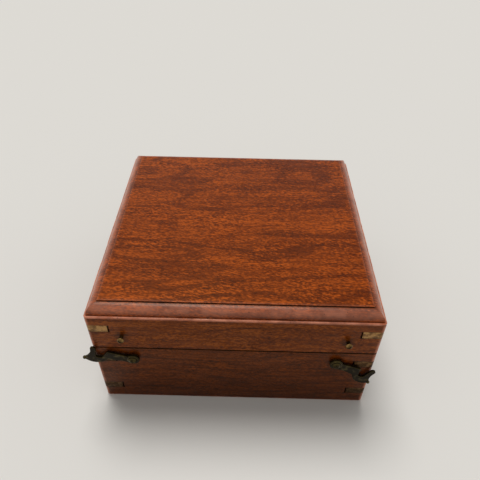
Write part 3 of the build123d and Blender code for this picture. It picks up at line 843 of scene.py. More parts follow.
@dataclass(frozen=True)
class Baize:
    """Woollen baize, woven, milled and raised to a nap, faded a little."""

    name: str = "green_woollen_baize"
    deep: str = "#24502f"
    pale: str = "#4c8056"
    bloom: str = "#7fae92"                  # of the loose fibres
    tuft: float = 0.55                      # mm
    lay: Point = (16.0, 9.0, 9.0)           # mm, areas where the nap lies one way
    lay_share: float = 0.8
    pale_span: Span = (0.55, 1.2)
    roughness: float = 0.95
    specular: float = 0.15
    sheen: float = 0.35
    sheen_roughness: float = 0.45
    relief: float = 0.12

    def material(self) -> Material:
        """Builds the finish.

        Returns:
            A matt cloth with a mottled nap and a soft sheen.
        """
        material, tree = new_material(self.name)
        place = millimetres(tree)
        tufts = patches(tree, place, (self.tuft,) * 3, 21.0, 3.0)
        lay = patches(tree, place, self.lay, 22.0)
        fine = add(tree, "Math MULTIPLY_ADD", (lay, self.lay_share, tufts))
        share = add(tree, "MapRange", (fine, *self.pale_span), **SMOOTH)
        surface(tree, tufts, self.relief, Base_Color=painted(tree, linear(self.deep), (share, self.pale)),
                Roughness=self.roughness, Specular_IOR_Level=self.specular, Sheen_Weight=self.sheen,
                Sheen_Roughness=self.sheen_roughness, Sheen_Tint=linear(self.bloom))
        return material


# red-brown and orange in the light, with dark flecks along the grain
LID_WOOD = dict(dark="#461403", middle="#682704", light="#a54a11", fleck_share=0.92)
# browner boards, so the sides fall back under the lid
RAIL_WOOD = dict(dark="#431803", middle="#662b04", light="#8a450f", fleck_share=0.85, streak_share=0.7)
# the same wood, with painted shade darkening it towards the foot
BASE_WOOD = dict(dark="#371403", middle="#532203", light="#72350b", fleck_share=0.85, streak_share=0.7,
                 foot_shade=0.35)
# planed and left without polish, so it is paler and flatter
BLOCK_WOOD = dict(dark="#5b3018", middle="#8a5430", light="#a97148", roughness=0.56, handling=None)


@dataclass(frozen=True)
class Finishes:
    """Every finish on the case, built once."""

    lid_top: Material
    rail_x: Material
    rail_y: Material
    wall_x: Material
    wall_y: Material
    block_x: Material
    block_y: Material
    lid_straps: Material
    base_straps: Material
    hinges: Material
    bronze: Material
    screws: Material
    baize: Material

    @classmethod
    def mixed(cls) -> "Finishes":
        """Builds them all.

        Returns:
            The finishes.
        """
        along, across = Grain.ALONG_X, Grain.ALONG_Y
        recipes = {
            "lid_top": CabinetWood("satin_hardwood_lid_board", along, **LID_WOOD),
            "rail_x": CabinetWood("satin_hardwood_long_rails", along, seed=40.0, **RAIL_WOOD),
            "rail_y": CabinetWood("satin_hardwood_short_rails", across, seed=90.0, **RAIL_WOOD),
            "wall_x": CabinetWood("satin_hardwood_long_walls", along, seed=60.0, **BASE_WOOD),
            "wall_y": CabinetWood("satin_hardwood_short_walls", across, seed=110.0, **BASE_WOOD),
            "block_x": CabinetWood("planed_hardwood_long_blocks", along, seed=140.0, **BLOCK_WOOD),
            "block_y": CabinetWood("planed_hardwood_cross_blocks", across, seed=190.0, **BLOCK_WOOD),
            # tan-yellow sheet brass, scratched by a file
            "lid_straps": AgedMetal("filed_sheet_brass", "#a47d4d", "#6f5132", "#3a2915", 0.45, 0.34),
            # the same brass gone dull and brown, with painted shade darkening it low on the case
            "base_straps": AgedMetal("browned_sheet_brass", "#775838", "#4d361f", "#2c1b0f", 0.6, 0.46,
                                     foot_shade=0.4),
            # rolled brass gone dull in the air
            "hinges": AgedMetal("dulled_rolled_brass", "#9a7844", "#66492a", "#33261a", 0.6, 0.42),
            # cast bronze, browned almost black, with olive and bare metal on its rims
            "bronze": AgedMetal("browned_cast_bronze", "#4c4226", "#241e13", "#14100a", 0.85, 0.4,
                                scratch_share=0.22),
            # turned brass, brown in its slots and bright where a driver and fingers have rubbed it
            "screws": AgedMetal("turned_brass_screws", "#8a6d42", "#382a18", "#1a120a", 0.8, 0.36),
            # matt green cloth that drinks the light
            "baize": Baize(),
        }
        return cls(**{name: recipe.material() for name, recipe in recipes.items()})


# ---- The lid's board -------------------------------------------------------------------

@dataclass(frozen=True)
class Corner:
    """One corner of a moulding's section. Its lengths are in millimetres."""

    inset: float        # in from the board's edge
    height: float       # above the board's underside
    radius: float
    worn: float = 0.0   # how far handling has rubbed it pale, with a painted highlight on the moulding: 1 is wholly, and more spreads wider
    grime: float = 0.0  # how much dirt and painted shade lie in it: 1 fills the corner, and more spreads wider
    shine: float = 0.0  # how much shellac is left on it, from 0 to 1

    @property
    def spot(self) -> np.ndarray:
        """Its inset and height."""
        return np.array((self.inset, self.height))


@dataclass
class LidBoard:
    """The lid's top board: a raised field, a step, an ovolo, a quirk and a square edge."""

    finish: Material
    corner_radius: float = 2.0      # mm, upright corners
    edge_height: float = 1.5
    arris_round: float = 0.55
    quirk_width: float = 1.4
    quirk_height: float = 0.3
    ovolo_radius: float = 5.2
    ovolo_shelf: float = 0.4
    step_round: float = 0.22
    inner_round: float = 0.09       # inside corners, as a cutter leaves them
    rail_spacing: float = 1.1       # points along the edge
    field_spacing: float = 3.0      # rings of faces in from the edge
    first_spacing: float = 1.5      # beside a corner, in inner rounds
    spacing_growth: float = 1.7
    worn_reach: float = 0.5         # from a sharp corner
    worn_growth: float = 0.35       # for each millimetre of its radius
    grime_reach: float = 0.32
    shine_reach: float = 1.3        # of the worn reach
    dent_depth: float = 0.22
    dent_size: float = 5.5
    dent_span: Span = (0.44, 0.72)
    dent_seed: float = 3.0
    arc_steps: int = 7

    def corners(self) -> list[Corner]:
        """Gives the section's corners.

        Returns:
            The corners, from the middle of the underside round to the middle of the field.
        """
        low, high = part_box("lid_board")
        middle, field_height = high.y / MM, (high.z - low.z) / MM
        shelf = self.edge_height + self.quirk_height + self.ovolo_radius
        step = self.quirk_width + self.ovolo_radius + self.ovolo_shelf
        return [
            Corner(middle, 0.0, 0.0),
            Corner(0.0, 0.0, self.inner_round, grime=0.3),
            # the arris, rubbed pale and brightened by a painted highlight
            Corner(0.0, self.edge_height, self.arris_round, worn=2.2, shine=0.6),
            # dirt and painted shade in the quirk
            Corner(self.quirk_width, self.edge_height, self.inner_round, grime=0.25),
            # the ovolo, rubbed pale with a painted highlight
            Corner(self.quirk_width, shelf, self.ovolo_radius - self.inner_round, worn=0.55, shine=0.95),
            # painted shade on the step's riser, with dirt in its corner
            Corner(step, shelf, self.inner_round, grime=1.7),
            Corner(step, field_height, self.step_round, worn=0.22),
            Corner(middle, field_height, 0.0),
        ]

    def section(self) -> tuple[list[Point], dict[str, np.ndarray]]:
        """Rounds the corners and adds points between them, closer near a corner.

        Returns:
            Points of inset and height in metres, and for each its wear with painted highlight, its dirt with
            painted shade, and its polish.
        """
        corners = self.corners()
        path = [corners[0].spot]
        for before, corner, after in zip(corners, corners[1:], corners[2:]):
            ways = [other.spot - corner.spot for other in (before, after)]
            back, on = (way / np.linalg.norm(way) for way in ways)
            centre = corner.spot + corner.radius * (back + on)
            self.run_to(path, corner.spot + corner.radius * back)
            for turn in np.linspace(0, math.pi / 2, self.arc_steps + 1)[1:]:
                path.append(centre - corner.radius * (math.cos(turn) * on + math.sin(turn) * back))
        self.run_to(path, corners[-1].spot)
        points = np.array(path)
        marks = {name: np.zeros(len(points)) for name in ("worn", "grime", "shine")}
        for corner in corners[1:-1]:
            bite = corner.radius * (1 - math.sqrt(0.5))
            off = np.maximum(np.hypot(*(points - corner.spot).T) - bite, 0.0)
            wide = self.worn_reach + self.worn_growth * corner.radius
            reaches = {"worn": wide, "grime": self.grime_reach, "shine": wide * self.shine_reach}
            for name, reach in reaches.items():
                spread = np.minimum(getattr(corner, name) * np.exp(-((off / reach) ** 2)), 1.0)
                marks[name] = np.maximum(marks[name], spread)
        return [(inset * MM, height * MM, 0.0) for inset, height in points], marks

    def run_to(self, path: list[np.ndarray], end: np.ndarray) -> None:
        """Adds points along a straight run, close at its ends and wide in its middle.

        Args:
            path: the points so far, to which these are added.
            end: where the run ends.
        """
        start = path[-1]
        length = float(np.linalg.norm(end - start))
        steps, step = [0.0], self.inner_round * self.first_spacing
        while steps[-1] + step < length / 2:
            steps.append(steps[-1] + step)
            step = min(step * self.spacing_growth, self.field_spacing)
        for place in sorted({*steps[1:], *(length - s for s in steps)}):
            path.append(start + (end - start) * (place / length))

    def outline(self) -> list[Point]:
        """Gives the board's outline: straight sides and round upright corners.

        Returns:
            The points in order, in metres, from the back right corner.
        """
        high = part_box("lid_board")[1]
        radius = self.corner_radius * MM
        points: list[Point] = []
        for start, sign_x, sign_y in ((0.0, 1, 1), (0.5, -1, 1), (1.0, -1, -1), (1.5, 1, -1)):
            x, y = sign_x * (high.x - radius), sign_y * (high.y - radius)
            arc = [(x + radius * math.cos(turn), y + radius * math.sin(turn), 0.0)
                   for turn in np.linspace(start, start + 0.5, self.arc_steps + 2) * math.pi]
            if points:
                points += self.side(points[-1], arc[0])
            points += arc
        return points + self.side(points[-1], points[0])

    def side(self, start: Point, end: Point) -> list[Point]:
        """Gives the points between the ends of a straight side."""
        count = round(math.dist(start, end) / (self.rail_spacing * MM))
        return [tuple(np.array(start) + (np.array(end) - np.array(start)) * (n / count))
                for n in range(1, count)]

    def tree(self) -> Tree:
        """Builds the tree that lays the section round the outline and wears its edges.

        Each ring of the sweep is the outline held back by the section's inset, so the
        mouldings meet in mitres and the upright corners stay round.

        Returns:
            The geometry tree.
        """
        tree, sources = new_tree("moulded_board", {
            "Outline": "Object", "Section": "Object", "Half width": "Float", "Half depth": "Float",
            "Floor": "Float", "Dent depth": "Float", "Dent size": "Float", "Seed": "Float",
            "Finish": "Material"})
        board, spot, cut = swept(tree, *(strand(tree, sources[label]) for label in ("Outline", "Section")))
        spread = add(tree, "SeparateXYZ", (spot,)).node.outputs
        sides = []
        for way, half in enumerate(("Half width", "Half depth")):
            limit = add(tree, "Math SUBTRACT", (sources[half], cut[0]))
            held = add(tree, "Math MINIMUM", (spread[way], limit))
            sides.append(add(tree, "Math MAXIMUM", (held, add(tree, "Math MULTIPLY", (limit, -1.0)))))
        target = add(tree, "CombineXYZ", (*sides, add(tree, "Math ADD", (cut[1], sources["Floor"]))))
        board = add(tree, "SetPosition", {"Geometry": board, "Position": target})
        board = add(tree, "MergeByDistance", {"Geometry": board, "Distance": WELD * 4})
        # the sweep's faces look inwards, and a dent has to go in
        board = add(tree, "FlipFaces", {"Mesh": board})
        board = add(tree, "SetPosition", {"Geometry": board, "Offset": self.dents(tree, sources)})
        return finished(tree, add(tree, "SetShadeSmooth", {"Geometry": board}), sources["Finish"])

    def dents(self, tree: Tree, sources: Sequence[Socket]) -> Socket:
        """Gives how far handling has pressed the rubbed edges in.

        Args:
            tree: the geometry tree.
            sources: the sockets that give its inputs.

        Returns:
            The offset of each point.
        """
        scale = add(tree, "Math DIVIDE", (1.0, sources["Dent size"]))
        blotch = add(tree, "TexNoise", {"Vector": add(tree, "InputPosition"), "W": sources["Seed"],
                                        "Scale": scale, "Detail": 3.0}, noise_dimensions="4D")
        depth = add(tree, "MapRange", (blotch, *self.dent_span), **SMOOTH)
        edge = add(tree, "InputNamedAttribute", {"Name": "worn"}, data_type="FLOAT")
        for factor in (edge, sources["Dent depth"], -1.0):
            depth = add(tree, "Math MULTIPLY", (depth, factor))
        return add(tree, "VectorMath SCALE", {0: add(tree, "InputNormal"), "Scale": depth})

    def build(self) -> Piece:
        """Makes the board.

        Returns:
            The board, settled on the lid.
        """
        low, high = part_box("lid_board")
        points, marks = self.section()
        board = grown(self.tree(), {
            "Outline": point_mesh("outline", self.outline(), True),
            "Section": point_mesh("section", points, False, marks),
            "Half width": high.x, "Half depth": high.y, "Floor": low.z, "Dent depth": self.dent_depth * MM,
            "Dent size": self.dent_size * MM, "Seed": self.dent_seed, "Finish": self.finish},
            "moulded_lid_board")
        return settle(board, "lid", "case_wood", "lid_board")


# ---- Screws and pins -------------------------------------------------------------------

@dataclass(frozen=True)
class Seat:
    """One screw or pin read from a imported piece: where its head's top is, and how big it is."""

    point: Vector
    aim: Vector             # out of the wood
    radius: float           # of its head, in metres
    length: float           # head and shank, in metres


def islands(node: str) -> list[np.ndarray]:
    """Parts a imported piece's mesh where it isn't joined.

    Args:
        node: the piece's name.

    Returns:
        The points of each part.
    """
    shape = bmesh.new()
    shape.from_mesh(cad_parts[node].data)
    bmesh.ops.remove_doubles(shape, verts=shape.verts, dist=WELD)
    waiting, parts = set(shape.verts), []
    while waiting:
        stack, island = [waiting.pop()], []
        while stack:
            vertex = stack.pop()
            island.append(tuple(vertex.co))
            near = {edge.other_vert(vertex) for edge in vertex.link_edges} & waiting
            waiting -= near
            stack += near
        parts.append(np.array(island))
    shape.free()
    return parts


def seats(node: str) -> list[Seat]:
    """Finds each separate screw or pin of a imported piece.

    Args:
        node: the piece's name.

    Returns:
        A seat for each, in order of place.
    """
    found = []
    for points in islands(node):
        low, high = points.min(axis=0), points.max(axis=0)
        axis = int(np.argmax(high - low))
        across = [n for n in range(3) if n != axis]
        middle = (low + high) / 2
        reach = np.hypot(*(points[:, across] - middle[across]).T)
        # the head is at the end where the widest points lie
        side = 1.0 if points[reach > reach.max() * 0.98, axis].mean() > middle[axis] else -1.0
        top, aim = middle.copy(), np.zeros(3)
        top[axis] = high[axis] if side > 0 else low[axis]
        aim[axis] = side
        found.append(Seat(Vector(top), Vector(aim), float(reach.max()), float((high - low)[axis])))
    return sorted(found, key=lambda seat: tuple(round(c, 5) for c in seat.point))


class Head(Enum):
    """The shape of a head."""

    FLUSH = "flush"
    ROUND = "round"


@dataclass
class Fasteners:
    """Screws or pins of one size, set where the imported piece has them."""

    finish: Material
    head: Head
    head_height: float      # mm
    shank_radius: float
    slot_depth: float = 0.5
    slot_width: float = 0.6
    rim: float = 0.14       # the head's square edge
    crisp_turn: float = 32.0    # degrees, edges that stay sharp
    sides: int = 28
    dome_steps: int = 8
    seed: int = 7

    def section(self, radius: float, length: float) -> list[Point]:
        """Gives half the fastener's section, from the middle of its head to its tip.

        Args:
            radius: of the head, in millimetres.
            length: head and shank, in millimetres.

        Returns:
            Distance from the axis and height in millimetres, and how worn each point is.
        """
        foot, shank = -self.head_height, self.shank_radius
        points = [(0.0, 0.0, 0.1)]
        if self.head is Head.ROUND:
            rise = self.head_height - self.rim
            ball = (radius ** 2 + rise ** 2) / (2 * rise)
            for share in np.linspace(0, 1, self.dome_steps + 1)[1:]:
                turn = math.asin(radius / ball) * share
                points.append((ball * math.sin(turn), ball * (math.cos(turn) - 1), 0.15 + 0.75 * share ** 2))
            points += [(radius, foot + self.rim * 0.3, 0.8), (radius * 0.97, foot, 0.3)]
        else:
            points += [(radius * 0.9, 0.0, 0.2), (radius * 0.98, -0.03, 0.6), (radius, -self.rim, 0.0)]
        return points + [(shank, foot, 0.0), (shank, -length + shank * 0.6, 0.0),
                         (shank * 0.3, -length, 0.0), (0.0, -length, 0.0)]

    def tree(self) -> Tree:
        """Builds the tree that turns one fastener, cuts its slot and sets a copy at each seat.

        Returns:
            The geometry tree.
        """
        tree, sources = new_tree("fasteners", {
            "Seats": "Object", "Section": "Object", "Sides": "Int", "Slotted": "Bool",
            "Slot size": "Vector", "Slot place": "Vector", "Turn seed": "Int", "Sharp": "Float",
            "Finish": "Material"})
        ring = add(tree, "CurvePrimitiveCircle", {"Resolution": sources["Sides"], "Radius": 1.0})
        turned, spot, cut = swept(tree, ring, strand(tree, sources["Section"]))
        level = add(tree, "VectorMath SCALE", {0: spot, "Scale": cut[0]})
        target = add(tree, "VectorMath ADD", (level, add(tree, "CombineXYZ", {2: cut[1]})))
        turned = add(tree, "SetPosition", {"Geometry": turned, "Position": target})
        turned = add(tree, "MergeByDistance", {"Geometry": turned, "Distance": WELD})
        cutter = add(tree, "MeshCube", {"Size": sources["Slot size"]}, "Mesh")
        cutter = add(tree, "Transform", {"Geometry": cutter, "Translation": sources["Slot place"]})
        slotted = add(tree, "MeshBoolean DIFFERENCE", {"Mesh 1": turned, "Mesh 2": cutter})
        chosen = add(tree, "Switch", {"Switch": sources["Slotted"], "False": turned, "True": slotted},
                     input_type="GEOMETRY")
        smooth = add(tree, "SetShadeSmooth", {"Geometry": chosen, "Shade Smooth": True})
        sharp = add(tree, "Compare GREATER_THAN", (add(tree, "InputMeshEdgeAngle"), sources["Sharp"]))
        crisp = add(tree, "SetShadeSmooth",
                    {"Geometry": smooth, "Selection": sharp, "Shade Smooth": False}, domain="EDGE")
        aim = add(tree, "InputNamedAttribute", {"Name": "aim"}, **VECTOR)
        facing = add(tree, "AlignRotationToVector", {"Vector": aim}, axis="Z")
        angle = add(tree, "RandomValue", {2: 0.0, 3: math.pi, "Seed": sources["Turn seed"]}, 1)
        driven = add(tree, "AxisAngleToRotation", {"Axis": (0.0, 0.0, 1.0), "Angle": angle})
        facing = add(tree, "RotateRotation", (facing, driven), rotation_space="LOCAL")
        points = add(tree, "ObjectInfo", {"Object": sources["Seats"]}, "Geometry")
        copies = add(tree, "InstanceOnPoints", {"Points": points, "Instance": crisp, "Rotation": facing})
        return finished(tree, copies, sources["Finish"])

    def build(self, name: str, body: str, slot: str, *nodes: str) -> Piece:
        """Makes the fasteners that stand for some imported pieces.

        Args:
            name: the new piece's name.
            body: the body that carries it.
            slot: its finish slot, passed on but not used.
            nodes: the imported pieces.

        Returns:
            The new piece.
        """
        places = [seat for node in nodes for seat in seats(node)]
        radius, length = places[0].radius, places[0].length
        line, depth = self.section(radius / MM, length / MM), self.slot_depth * MM
        piece = grown(bpy.data.node_groups.get("fasteners") or self.tree(), {
            "Seats": point_mesh("seats", [seat.point for seat in places], None,
                                {"aim": [seat.aim for seat in places]}),
            "Section": point_mesh("half section", [(r * MM, z * MM, 0.0) for r, z, _ in line], False,
                                  {"worn": [worn for _, _, worn in line]}),
            "Sides": self.sides, "Slotted": self.slot_depth > 0,
            "Slot size": (radius * 2.4, self.slot_width * MM, depth * 4), "Slot place": (0.0, 0.0, depth),
            "Turn seed": self.seed, "Sharp": math.radians(self.crisp_turn), "Finish": self.finish}, name)
        return settle(piece, body, slot, *nodes)


# ---- Base, lid, hinges and latches -----------------------------------------------------

@dataclass
class Carcass:
    """The walls of the base and the rails of the lid, with their straps and pins."""

    finishes: Finishes
    wood_edge: float = 0.15         # mm, rounding of sanded edges
    strap_edge: float = 0.22        # mm, rounding of filed edges
    pin_head_height: float = 0.5
    pin_shank_radius: float = 0.55

    def build(self) -> None:
        """Dresses the walls, the rails, the bottom and the straps, and makes the pins."""
        kit = self.finishes
        wood = {"bottom_board": kit.wall_x}
        for rows, long, short in (("base_{}_wall", kit.wall_x, kit.wall_y),
                                  ("lid_{}_rail", kit.rail_x, kit.rail_y)):
            wood |= {rows.format(side): long for side in ("front", "back")}
            wood |= {rows.format(side): short for side in ("left", "right")}
        for name, finish in wood.items():
            ease_edges(dress(name, finish), self.wood_edge)
        brass = {"base": kit.base_straps, "lid": kit.lid_straps}
        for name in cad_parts:
            if "_strap_" in name and not name.endswith("pins"):
                ease_edges(dress(name, brass[name.split("_")[0]]), self.strap_edge, steps=3, shortest=1.0)
        for body, finish in brass.items():
            pins = Fasteners(finish, Head.FLUSH, self.pin_head_height, self.pin_shank_radius,
                             slot_depth=0.0, sides=20)
            pins.build(f"{body}_flush_pins", body, "strap_brass", f"{body}_strap_pins")


@dataclass
class Hinges:
    """Two butt hinges let into the seam."""

    finishes: Finishes
    leaf_edge: float = 0.12         # mm
    screw_head_height: float = 0.8
    screw_shank_radius: float = 0.9

    def build(self) -> None:
        """Dresses the leaves and pins, and makes the screws of both bodies."""
        for hand in ("left", "right"):
            for part in ("base_leaf", "lid_leaf", "pin"):
                ease_edges(dress(f"{hand}_hinge_{part}", self.finishes.hinges), self.leaf_edge, shortest=1.2)
        screws = Fasteners(self.finishes.screws, Head.FLUSH, self.screw_head_height, self.screw_shank_radius)
        for body in ("base", "lid"):
            screws.build(f"{body}_leaf_screws", body, "hinge_brass", f"{body}_hinge_screws")


@dataclass
class Latches:
    """Two cast hooks on pivot screws, and the studs that they close over."""

    finishes: Finishes
    hook_cell: float = 0.13         # mm, faces of the softened casting
    hook_passes: int = 7
    washer_edge: float = 0.1
    head_height: float = 1.5
    shank_radius: float = 1.1

    def build(self) -> None:
        """Dresses the hooks and washers, and makes the studs and pivot screws."""
        for hand in ("left", "right"):
            soften(dress(f"{hand}_hook", self.finishes.bronze), self.hook_cell, self.hook_passes)
            ease_edges(dress(f"{hand}_pivot_washer", self.finishes.hinges), self.washer_edge, shortest=0.2)
            for part, body, metal, seed in (("catch_stud", "lid", self.finishes.screws, 3),
                                            ("pivot_screw", "base", self.finishes.bronze, 5)):
                screw = Fasteners(metal, Head.ROUND, self.head_height, self.shank_radius,
                                  seed=seed + len(hand))
                screw.build(f"{hand}_{part}_turned", body, "latch_bronze", f"{hand}_{part}")


# ---- Inside ----------------------------------------------------------------------------

@dataclass(frozen=True)
class Pad:
    """One piece of baize: what it was cut to, what it lies on and how it bends."""

    name: str
    node: str
    body: str
    rests_on: str
    flat: tuple[float, float]       # metres
    # a place for a point of the cloth: across and along from -1 to 1, and up from 0, glued, to 1
    spot: Callable[[float, float, float], Point]
    area: float | None = None       # square metres, where it isn't a rectangle
    held: str = "laid"


@dataclass
class Inside:
    """The blocks that hold the instrument and its telescopes, and the baize on them."""

    finishes: Finishes
    block_edge: float = 0.15                # mm
    cell: float = 0.75                      # mm, faces of a small pad
    lining_cell: float = 1.6                # mm, faces of the floor's lining
    nap: float = 0.1                        # share of the thickness by which the nap rises and falls
    nap_size: float = 1.5                   # mm
    nap_drift: float = 6.0                  # nap sizes, the slower rise and fall
    nap_full: float = 0.7                   # how much of the rise and fall the top shows
    under_edge: float = 0.35                # how far the cut edge lifts off, of its thickness
    limb_pad_radius: float = 89.4           # mm, its front edge
    limb_strip: float = 10.0                # mm, the width of the strip that it is cut from
    notch_radius: float = 9.0               # mm, the handle's notch
    notch_axis: float = 25.2                # mm above the underside
    saddle_thickness: float = 1.2           # mm
    edge_thickness: float = 1.2             # mm, for the rounding of cut edges
    screw_head_height: float = 1.4
    screw_shank_radius: float = 1.2
    # the cut edge's rounding: how far in, in thicknesses, and how high each line of points is
    cut_edge: tuple[tuple[float, float], ...] = ((0.0, 0.5), (0.12, 0.84), (0.35, 0.97), (0.8, 1.0))

    def laid(self, name: str, node: str, body: str, rests_on: str, upwards: bool = True) -> Pad:
        """Describes a rectangle of baize on a flat face.

        Args:
            name: the new piece's name.
            node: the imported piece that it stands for.
            body: the body that carries it.
            rests_on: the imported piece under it.
            upwards: whether its nap faces up.

        Returns:
            The piece of baize.
        """
        low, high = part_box(node)
        glued, nap = (low.z, high.z) if upwards else (high.z, low.z)

        def spot(u: float, v: float, h: float) -> Point:
            """Places a point on the rectangle."""
            return (low.x + (high.x - low.x) * (u + 1) / 2, low.y + (high.y - low.y) * (v + 1) / 2,
                    glued + (nap - glued) * h)
        return Pad(name, node, body, rests_on, (high.x - low.x, high.y - low.y), spot)

    def disc(self, hand: str) -> Pad:
        """Describes a disc of baize in a telescope's socket.

        Args:
            hand: left or right.

        Returns:
            The piece of baize.
        """
        low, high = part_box(f"{hand}_socket_pad")
        centre, radius = (low + high) / 2, (high.x - low.x) / 2

        def spot(u: float, v: float, h: float) -> Point:
            """Places a point of the square grid on the disc."""
            return (centre.x + radius * u * math.sqrt(1 - v * v / 2),
                    centre.y + radius * v * math.sqrt(1 - u * u / 2), low.z + (high.z - low.z) * h)
        return Pad(f"{hand}_socket_baize", f"{hand}_socket_pad", "base", f"{hand}_telescope_block",
                   (radius * 2, radius * 2), spot, math.pi * radius ** 2)

    def arc(self) -> Pad:
        """Describes the baize under the instrument's arc, its front edge cut to the arc.

        Returns:
            The piece of baize.
        """
        low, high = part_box("limb_pad")
        radius, half = self.limb_pad_radius * MM, (high.x - low.x) / 2
        centre = low.y + radius

        def front(x: float) -> float:
            """Gives the front edge's Y."""
            return centre - math.sqrt(radius ** 2 - x ** 2)

        def spot(u: float, v: float, h: float) -> Point:
            """Places a point between the arc and the straight back edge."""
            x = half * u
            return x, front(x) + (high.y - front(x)) * (v + 1) / 2, low.z + (high.z - low.z) * h
        steps = np.linspace(-half, half, 41)
        area = float(np.mean([high.y - front(x) for x in steps])) * half * 2
        return Pad("limb_baize", "limb_pad", "base", "limb_block", (half * 2, self.limb_strip * MM), spot,
                   area)

    def saddle(self, place: str) -> Pad:
        """Describes the strip of baize bent round a chock's notch.

        Args:
            place: front or back.

        Returns:
            The piece of baize.
        """
        low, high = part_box(f"{place}_saddle_pad")
        radius, axis, middle = self.notch_radius * MM, self.notch_axis * MM, (low.x + high.x) / 2
        thickness = self.saddle_thickness * MM
        straight, bend = high.z - axis, math.pi * (radius - thickness / 2)
        whole = 2 * straight + bend

        def spot(u: float, v: float, h: float) -> Point:
            """Places a point down one side, round the bottom or up the other side."""
            run, y = (u + 1) / 2 * whole, low.y + (high.y - low.y) * (v + 1) / 2
            reach = radius - h * thickness
            if run < straight:
                return middle - reach, y, high.z - run
            if run > straight + bend:
                return middle + reach, y, axis + run - straight - bend
            turn = (run - straight) / bend * math.pi
            return middle - reach * math.cos(turn), y, axis - reach * math.sin(turn)
        return Pad(f"{place}_saddle_baize", f"{place}_saddle_pad", "base", f"{place}_handle_chock",
                   (whole, high.y - low.y), spot, held="draped")

    def lines(self, length: float, cell: float) -> tuple[np.ndarray, np.ndarray]:
        """Spaces a cloth's lines of points across one direction, closer at its cut edges.

        Args:
            length: how far they spread, in millimetres.
            cell: the spacing in the middle.

        Returns:
            Their places from -1 to 1, and their shares of the full height.
        """
        insets = [share * self.edge_thickness for share, _ in self.cut_edge]
        count = max(3, round((length - 2 * insets[-1]) / cell))
        inner = np.linspace(insets[-1], length - insets[-1], count)
        places = np.concatenate((insets[:-1], inner, [length - inset for inset in reversed(insets[:-1])]))
        rise = [height for _, height in self.cut_edge]
        heights = np.concatenate((rise[:-1], np.ones(count), rise[-2::-1]))
        return places / length * 2 - 1, heights

    def heights(self, pad: Pad, u: float, v: float, height: float) -> tuple[float, float]:
        """Gives how high the cloth's nap and its glued side lie at a place.

        Args:
            pad: the piece.
            u: the place across, from -1 to 1.
            v: the place along, from -1 to 1.
            height: the share of the full height that the cut edge leaves there.

        Returns:
            Both heights, in thicknesses.
        """
        base = Vector(pad.spot(u, v, 0.5))
        lift = noise.noise(base / (self.nap_size * MM)) * self.nap
        lift += noise.noise(base / (self.nap_size * MM * self.nap_drift)) * self.nap
        nap = height * (1.0 - 2 * self.nap_full * self.nap) + lift * height * self.nap_full
        return nap, (1 - height) * self.under_edge

    def cloth(self, pad: Pad, cell: float) -> Piece:
        """Cuts and lays one piece of baize.

        Args:
            pad: the piece.
            cell: the size of its faces in millimetres.

        Returns:
            The new piece.
        """
        (across, rise_across), (along, rise_along) = (self.lines(size / MM, cell) for size in pad.flat)
        columns, rows, count = len(across), len(along), len(across) * len(along)
        points, faces = [], []
        for side in (0, 1):
            for u, rise_u in zip(across, rise_across):
                for v, rise_v in zip(along, rise_along):
                    points.append(pad.spot(u, v, self.heights(pad, u, v, min(rise_u, rise_v))[side]))
        for i in range(columns - 1):
            for j in range(rows - 1):
                corner = i * rows + j
                quad = (corner, corner + rows, corner + rows + 1, corner + 1)
                faces += [quad, tuple(count + n for n in reversed(quad))]
        ring = [i * rows for i in range(columns)] + [(columns - 1) * rows + j for j in range(1, rows)]
        ring += [i * rows + rows - 1 for i in range(columns - 2, -1, -1)] + list(range(rows - 2, 0, -1))
        for here, there in zip(ring, ring[1:] + ring[:1]):
            faces.append((here, here + count, there + count, there))
        mesh = bpy.data.meshes.new(pad.name)
        mesh.from_pydata(points, [], faces)
        mesh.materials.append(self.finishes.baize)
        mesh.shade_smooth()
        piece = settle(placed(faced_outwards(mesh), pad.name), pad.body, "green_baize", pad.node)
        return piece

    def build(self) -> None:
        """Dresses the blocks, makes their screws and lays the baize."""
        kit = self.finishes
        for name in ("left_telescope_block", "right_telescope_block", "limb_block", "front_handle_chock",
                     "back_handle_chock", "lid_block", "foot_block"):
            finish = kit.block_y if name == "foot_block" else kit.block_x
            ease_edges(dress(name, finish), self.block_edge)
        screws = Fasteners(kit.screws, Head.FLUSH, self.screw_head_height, self.screw_shank_radius)
        screws.build("bottom_screws", "base", "hinge_brass", "block_screws")
        pads = [self.laid("foot_baize", "foot_pad", "base", "foot_block"),
                self.laid("hold_down_baize", "lid_pad", "lid", "lid_block", upwards=False), self.arc()]
        pads += [self.disc(hand) for hand in ("left", "right")]
        pads += [self.saddle(place) for place in ("front", "back")]
        for pad in pads:
            self.cloth(pad, self.cell)
        self.cloth(self.laid("floor_baize", "floor_lining", "base", "bottom_board"), self.lining_cell)


# ---- Studio ----------------------------------------------------------------------------

